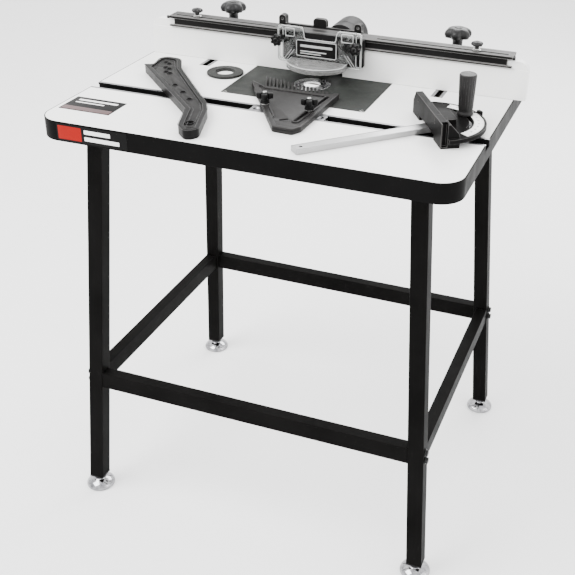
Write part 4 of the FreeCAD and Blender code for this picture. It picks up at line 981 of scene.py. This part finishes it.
def on_guard(mesh):
    """From X, Z and a depth in front of the back face, to where the guard stands."""
    turn = Matrix(((1, 0, 0, 0), (0, 0, -1, back * MM), (0, 1, 0, 0), (0, 0, 0, 1)))
    mesh.transform(turn)
    mesh.flip_normals() if turn.determinant() < 0 else None
    return mesh


plate_parts = [flat_mesh([rounded(OUTLINE, OUTLINE_R, 8), *slot_loops], 0, thickness, 0.7)]
rim_points = inset_loop(OUTLINE, 1.1)
rim = [Vector((x, y, thickness * MM)) for x, y in rounded(rim_points, [6, 6, 7, 8, 5, 5, 8, 7], 8)]
rim_parts = [tube_mesh(rim, 1.0, True, 12)]
for x in stud_x:
    bead = rounded(rect(x - 4.6, x + 4.6, TOP + 29.6, TOP + 96.0), 4.5, 8)
    rim_parts.append(tube_mesh([Vector((p[0], p[1], thickness * MM)) for p in bead], 0.75, True, 8))
for x0, x1 in ((gx0 + 17, gx0 + 38), (gx1 - 44, gx1 - 18)):
    pocket_out = rounded(rect(x0, x1, TOP + 78, TOP + 96), 3.5, 6)
    pocket_in = rounded(rect(x0 + 1.4, x1 - 1.4, TOP + 79.4, TOP + 94.6), 2.8, 6)
    rim_parts.append(flat_mesh([pocket_out, pocket_in], thickness - 0.5, thickness + 2.0, 0.6))
for x, lean in ((gx0 + 22, 1), (gx1 - 22, -1)):
    for off in (0, 6):
        a = Vector(((x - lean * (9 - off)) * MM, (TOP + 28) * MM, thickness * MM))
        b = Vector(((x + lean * (9 + off)) * MM, (TOP + 52) * MM, thickness * MM))
        rim_parts.append(tube_mesh([a, b], 0.7, False, 8))
piece("guard_moulding", on_guard(joined(plate_parts)), "guard", CLEAR, ["guard_plate"])
# The guard's beads, slot surrounds, pockets and ribs are pale: painted highlight.
piece("guard_rims", on_guard(joined(rim_parts)), "guard", RIM_HIGHLIGHT_AND_PRINT)

# ---- label panel, with plain bars where a name would be ----
label_lo, label_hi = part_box("guard_label")
lx0, lx1, lz0, lz1 = label_lo.x / MM, label_hi.x / MM, label_lo.z / MM, label_hi.z / MM
label_depth = back - label_hi.y / MM
panel = flat_mesh([rounded(rect(lx0, lx1, lz0, lz1), 4, 6)], label_depth - 0.2, label_depth + 1.0, 0.3)
piece("guard_label_panel", on_guard(panel), "guard", PRINT_DARK, ["guard_label"])
LABEL_RIM = 1.6
frame_out = rounded(rect(lx0, lx1, lz0, lz1), 4, 6)
frame_in = rounded(rect(lx0 + LABEL_RIM, lx1 - LABEL_RIM, lz0 + LABEL_RIM, lz1 - LABEL_RIM), 2.6, 6)
marks = [flat_mesh([frame_out, frame_in], label_depth + 0.6, label_depth + 1.7, 0.35)]
for z, gap, tall in ((lz1 - 12, 9, 5), (lz0 + 11, 22, 2.4), (lz0 + 6.4, 34, 2.0)):
    bar = rounded(rect(lx0 + 9, lx1 - gap, z - tall / 2, z + tall / 2), tall * 0.3, 3)
    marks.append(flat_mesh([bar], label_depth + 0.9, label_depth + 1.4, 0.2))
piece("guard_label_marks", on_guard(joined(marks)), "guard", RIM_HIGHLIGHT_AND_PRINT)

# ---- visor: a shelf with a curved skirt ----
visor_lo, visor_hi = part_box("guard_visor")
vz0, vz1 = visor_lo.z / MM, visor_hi.z / MM
vx0, vx1 = visor_lo.x / MM, visor_hi.x / MM
v_front, v_side = visor_lo.y / MM, 74


def visor_curve(inset, back_y):
    """The visor's outline: straight sides and one arc across the front, in millimetres."""
    half = (vx1 - vx0) / 2 - inset
    cx = (vx0 + vx1) / 2
    rise = v_side - v_front - inset * 0.6
    radius = (half * half + rise * rise) / (2 * rise)
    cy = v_front + inset + radius
    sweep = math.asin(half / radius)
    angles = [-sweep + 2 * sweep * i / 40 for i in range(41)]
    arc = [(cx + radius * math.sin(a), cy - radius * math.cos(a)) for a in angles]
    return [(vx0 + inset, back_y)] + arc + [(vx1 - inset, back_y)]


def in_metres(points):
    return [Vector(p) * MM for p in points]


shelf = flat_mesh([in_metres(visor_curve(0, front))], vz1 - 3, vz1, 0.6)
skirt_loop = in_metres(visor_curve(0, front) + list(reversed(visor_curve(3.2, front))))
skirt = flat_mesh([skirt_loop], vz0, vz1 - 2.4, 0.5)
piece("guard_visor_moulding", joined([shelf, skirt]), "guard", VISOR, ["guard_visor"])
bead_path = [Vector((x * MM, y * MM, (vz1 - 0.8) * MM)) for x, y in visor_curve(1.0, front)]
low_path = [Vector((x * MM, y * MM, (vz0 + 1.2) * MM)) for x, y in visor_curve(0.9, front)]
visor_rims = joined([tube_mesh(bead_path, 1.3, False, 10), tube_mesh(low_path, 0.9, False, 8)])
# The visor's beads are pale: painted highlight.
piece("guard_visor_rims", visor_rims, "guard", RIM_HIGHLIGHT_AND_PRINT)

# ================= mitre gauge handle and scale =================
centre = middle("mitre_handle")
low, high = height("mitre_handle")
FLUTES = 18


def fluted(angle, radius, z):
    if z < low + 15 or z > high - 4:
        return 1.0
    wave = abs(math.sin(FLUTES * angle / 2))
    return 1.0 - 0.035 * (1.0 - wave) ** 1.5


profile = [
    (4, low), (14.0, low), (14.8, low + 0.6), (15.1, low + 2), (14.7, low + 4.6),
    (13.4, low + 6.6), (13.0, low + 8.4), (13.3, low + 11), (13.8, low + 13.5),
]
profile += [(13.9 + 2.2 * k / 10, low + 15.1 + (high - low - 20) * k / 10) for k in range(11)]
profile += [
    (16.1, high - 3.6), (15.7, high - 2.0), (14.8, high - 0.9), (13.4, high - 0.7),
    (12.8, high - 1.0), (8, high - 0.45), (3, high - 0.1), (0.3, high),
]
handle = moved(polar_mesh(profile, fluted, 216), shift(centre.x, centre.y, 0))
piece("mitre_handle_grip", handle, "mitre_handle", HANDLE, ["mitre_handle"])

pivot = next(j for j in frame["joints"] if j["name"] == "mitre_head_swing")["pos_m"]
scale_z = height("mitre_scale")[0]
HEAD_ANGLE = 31


def arc_band(r0, r1, start, end, steps=48):
    """A band between two radii, from one angle to another in degrees."""
    angles = [math.radians(start + (end - start) * i / steps) for i in range(steps + 1)]
    outside = [(r1 * math.cos(a), r1 * math.sin(a)) for a in angles]
    inside = [(r0 * math.cos(a), r0 * math.sin(a)) for a in reversed(angles)]
    return in_metres(outside + inside)


on_head = Matrix.Translation((pivot[0], pivot[1], 0)) @ spin(HEAD_ANGLE)
band = flat_mesh([arc_band(77.5, 95, -64, 52)], scale_z, scale_z + 0.45, 0.12)
piece("mitre_scale_face", moved(band, on_head), "mitre_head", SCALE_WHITE, ["mitre_scale"])
hoops = [flat_mesh([arc_band(96.2, 99.6, -72, 72)], scale_z - 0.1, scale_z + 0.6, 0.2)]
hoops.append(flat_mesh([arc_band(74.8, 77.0, -58, 50)], scale_z - 0.1, scale_z + 0.5, 0.15))
piece("mitre_head_hoops", moved(joined(hoops), on_head), "mitre_head", GAUGE_DARK)
SCALE_EDGE = 94.6
ticks = []
for degrees in range(-60, 51, 2):
    major = degrees % 10 == 0
    length = 4.2 if major else 2.4
    width = 0.30 if major else 0.18
    mark = in_metres(rect(SCALE_EDGE - length, SCALE_EDGE, -width, width))
    tick = flat_mesh([mark], scale_z + 0.38, scale_z + 0.52, 0.03)
    ticks.append(moved(tick, spin(degrees)))
for degrees in range(-50, 51, 10):
    numeral = text_mesh(str(abs(degrees)), 5.2)
    turn = spin(degrees) @ shift(85.4, 0, scale_z + 0.44) @ spin(-90)
    ticks.append(moved(numeral, turn))
piece("mitre_scale_marks", moved(joined(ticks), on_head), "mitre_head", PRINT_DARK)

# ================= plain badges, with bars in place of lettering =================
def plain_bar(x0, x1, y0, y1, corner, low, high, edge):
    """A thin printed bar with rounded corners."""
    return flat_mesh([rounded(rect(x0, x1, y0, y1), corner, 3)], low, high, edge)


badge_lo, badge_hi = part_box("top_badge")
bx0, bx1, by0, by1 = badge_lo.x / MM, badge_hi.x / MM, badge_lo.y / MM, badge_hi.y / MM
badge_z = badge_lo.z / MM
print_low, print_high = badge_z + 0.25, badge_z + 0.5
plate_mesh = flat_mesh([rounded(rect(bx0, bx1, by0, by1), 1.2, 4)], badge_z, badge_z + 0.35, 0.1)
piece("top_badge_plate", plate_mesh, "stand", PRINT_DARK, ["top_badge"])
stripe = plain_bar(bx0 + 2.5, bx1 - 2.5, by0 + 2.5, by0 + 19, 0.6, print_low, print_high, 0.06)
piece("top_badge_stripe", stripe, "stand", PRINT_MAROON)
bars = []
for y, gap, tall in ((by1 - 14, 12, 7), (by1 - 27, 34, 4)):
    bars.append(plain_bar(bx0 + 12, bx1 - gap, y - tall / 2, y + tall / 2, 1, print_low, print_high, 0.06))
piece("top_badge_bars", joined(bars), "stand", PRINT_PALE)

badge_lo, badge_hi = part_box("front_badge")
bx0, bx1, bz0, bz1 = badge_lo.x / MM, badge_hi.x / MM, badge_lo.z / MM, badge_hi.z / MM
face_y = badge_hi.y / MM


def on_edge(mesh):
    mesh.transform(Matrix(((1, 0, 0, 0), (0, 0, -1, face_y * MM), (0, 1, 0, 0), (0, 0, 0, 1))))
    return mesh


panel = plain_bar(bx0, bx1, bz0, bz1, 1.0, -0.2, 0.45, 0.1)
piece("front_badge_panel", on_edge(panel), "stand", PRINT_DARK, ["front_badge"])
block = plain_bar(bx0 + 3, bx0 + 52, bz0 + 3, bz1 - 3, 1.2, 0.35, 0.65, 0.08)
piece("front_badge_block", on_edge(block), "stand", PRINT_RED)
bars = []
for z, gap in ((bz1 - 9.5, 34), (bz0 + 9.5, 16)):
    bars.append(plain_bar(bx0 + 58, bx1 - gap, z - 3.8, z + 3.8, 1, 0.35, 0.6, 0.08))
piece("front_badge_bars", on_edge(joined(bars)), "stand", PRINT_PALE)

# ================= floor, light and camera =================
floor_material = Nodes("studio floor")
speckle = floor_material.noise(3.0, 4.0, 0.5)
floor_material.set(
    Base_Color=floor_material.blend(speckle, (0.87, 0.87, 0.87), (0.90, 0.90, 0.90)), Roughness=0.9
)
FLOOR_HALF = 14
floor_mesh = bpy.data.meshes.new("floor")
floor_mesh.from_pydata(
    [(x, y, 0) for x, y in rect(-FLOOR_HALF, FLOOR_HALF, -FLOOR_HALF, FLOOR_HALF)], [], [(0, 1, 2, 3)],
)
floor_mesh.materials.append(floor_material.material)
floor = bpy.data.objects.new("floor", floor_mesh)
scene.collection.objects.link(floor)

world = bpy.data.worlds.new("studio")
world.use_nodes = True
sky = world.node_tree.nodes["Background"]
sky.inputs["Color"].default_value = (1.0, 1.0, 1.0, 1.0)
sky.inputs["Strength"].default_value = 2.6
scene.world = world


def area_light(name, at, towards, size, watts, tint=(1, 1, 1)):
    data = bpy.data.lights.new(name, "AREA")
    data.shape = "RECTANGLE"
    data.size, data.size_y = size
    data.energy = watts
    data.color = tint
    lamp = bpy.data.objects.new(name, data)
    scene.collection.objects.link(lamp)
    lamp.location = at
    lamp.rotation_euler = (Vector(towards) - Vector(at)).to_track_quat("-Z", "Y").to_euler()


area_light("key", (-1.6, -1.4, 3.2), (0, 0, 0.8), (2.0, 2.0), 170)
area_light("right", (3.0, -0.2, 1.6), (0, 0, 0.6), (1.6, 2.2), 36)
area_light("back", (0.3, 2.8, 2.6), (0, 0, 0.8), (2.4, 1.4), 100)


def aim(azimuth, elevation, roll):
    """The camera's turn: azimuth 0 looks along +Y, elevation is how far it looks down."""
    a, e, r = (math.radians(v) for v in (azimuth, elevation, roll))
    back_axis = Vector((math.sin(a) * math.cos(e), -math.cos(a) * math.cos(e), math.sin(e)))
    right = (-back_axis).cross(Vector((0, 0, 1))).normalized()
    up = right.cross(-back_axis)
    turned_right = math.cos(r) * right + math.sin(r) * up
    turned_up = math.cos(r) * up - math.sin(r) * right
    return Matrix((turned_right, turned_up, back_axis)).transposed()


camera = bpy.data.objects.new("camera", bpy.data.cameras.new("camera"))
scene.collection.objects.link(camera)
camera.data.sensor_width = 36
camera.data.lens = 61.96
camera.data.shift_x = -0.0826
camera.data.shift_y = -0.0443
camera.location = (0.6852, -1.745, 1.538)
camera.rotation_euler = aim(19.5, 29.0, 1.182).to_euler()
scene.camera = camera
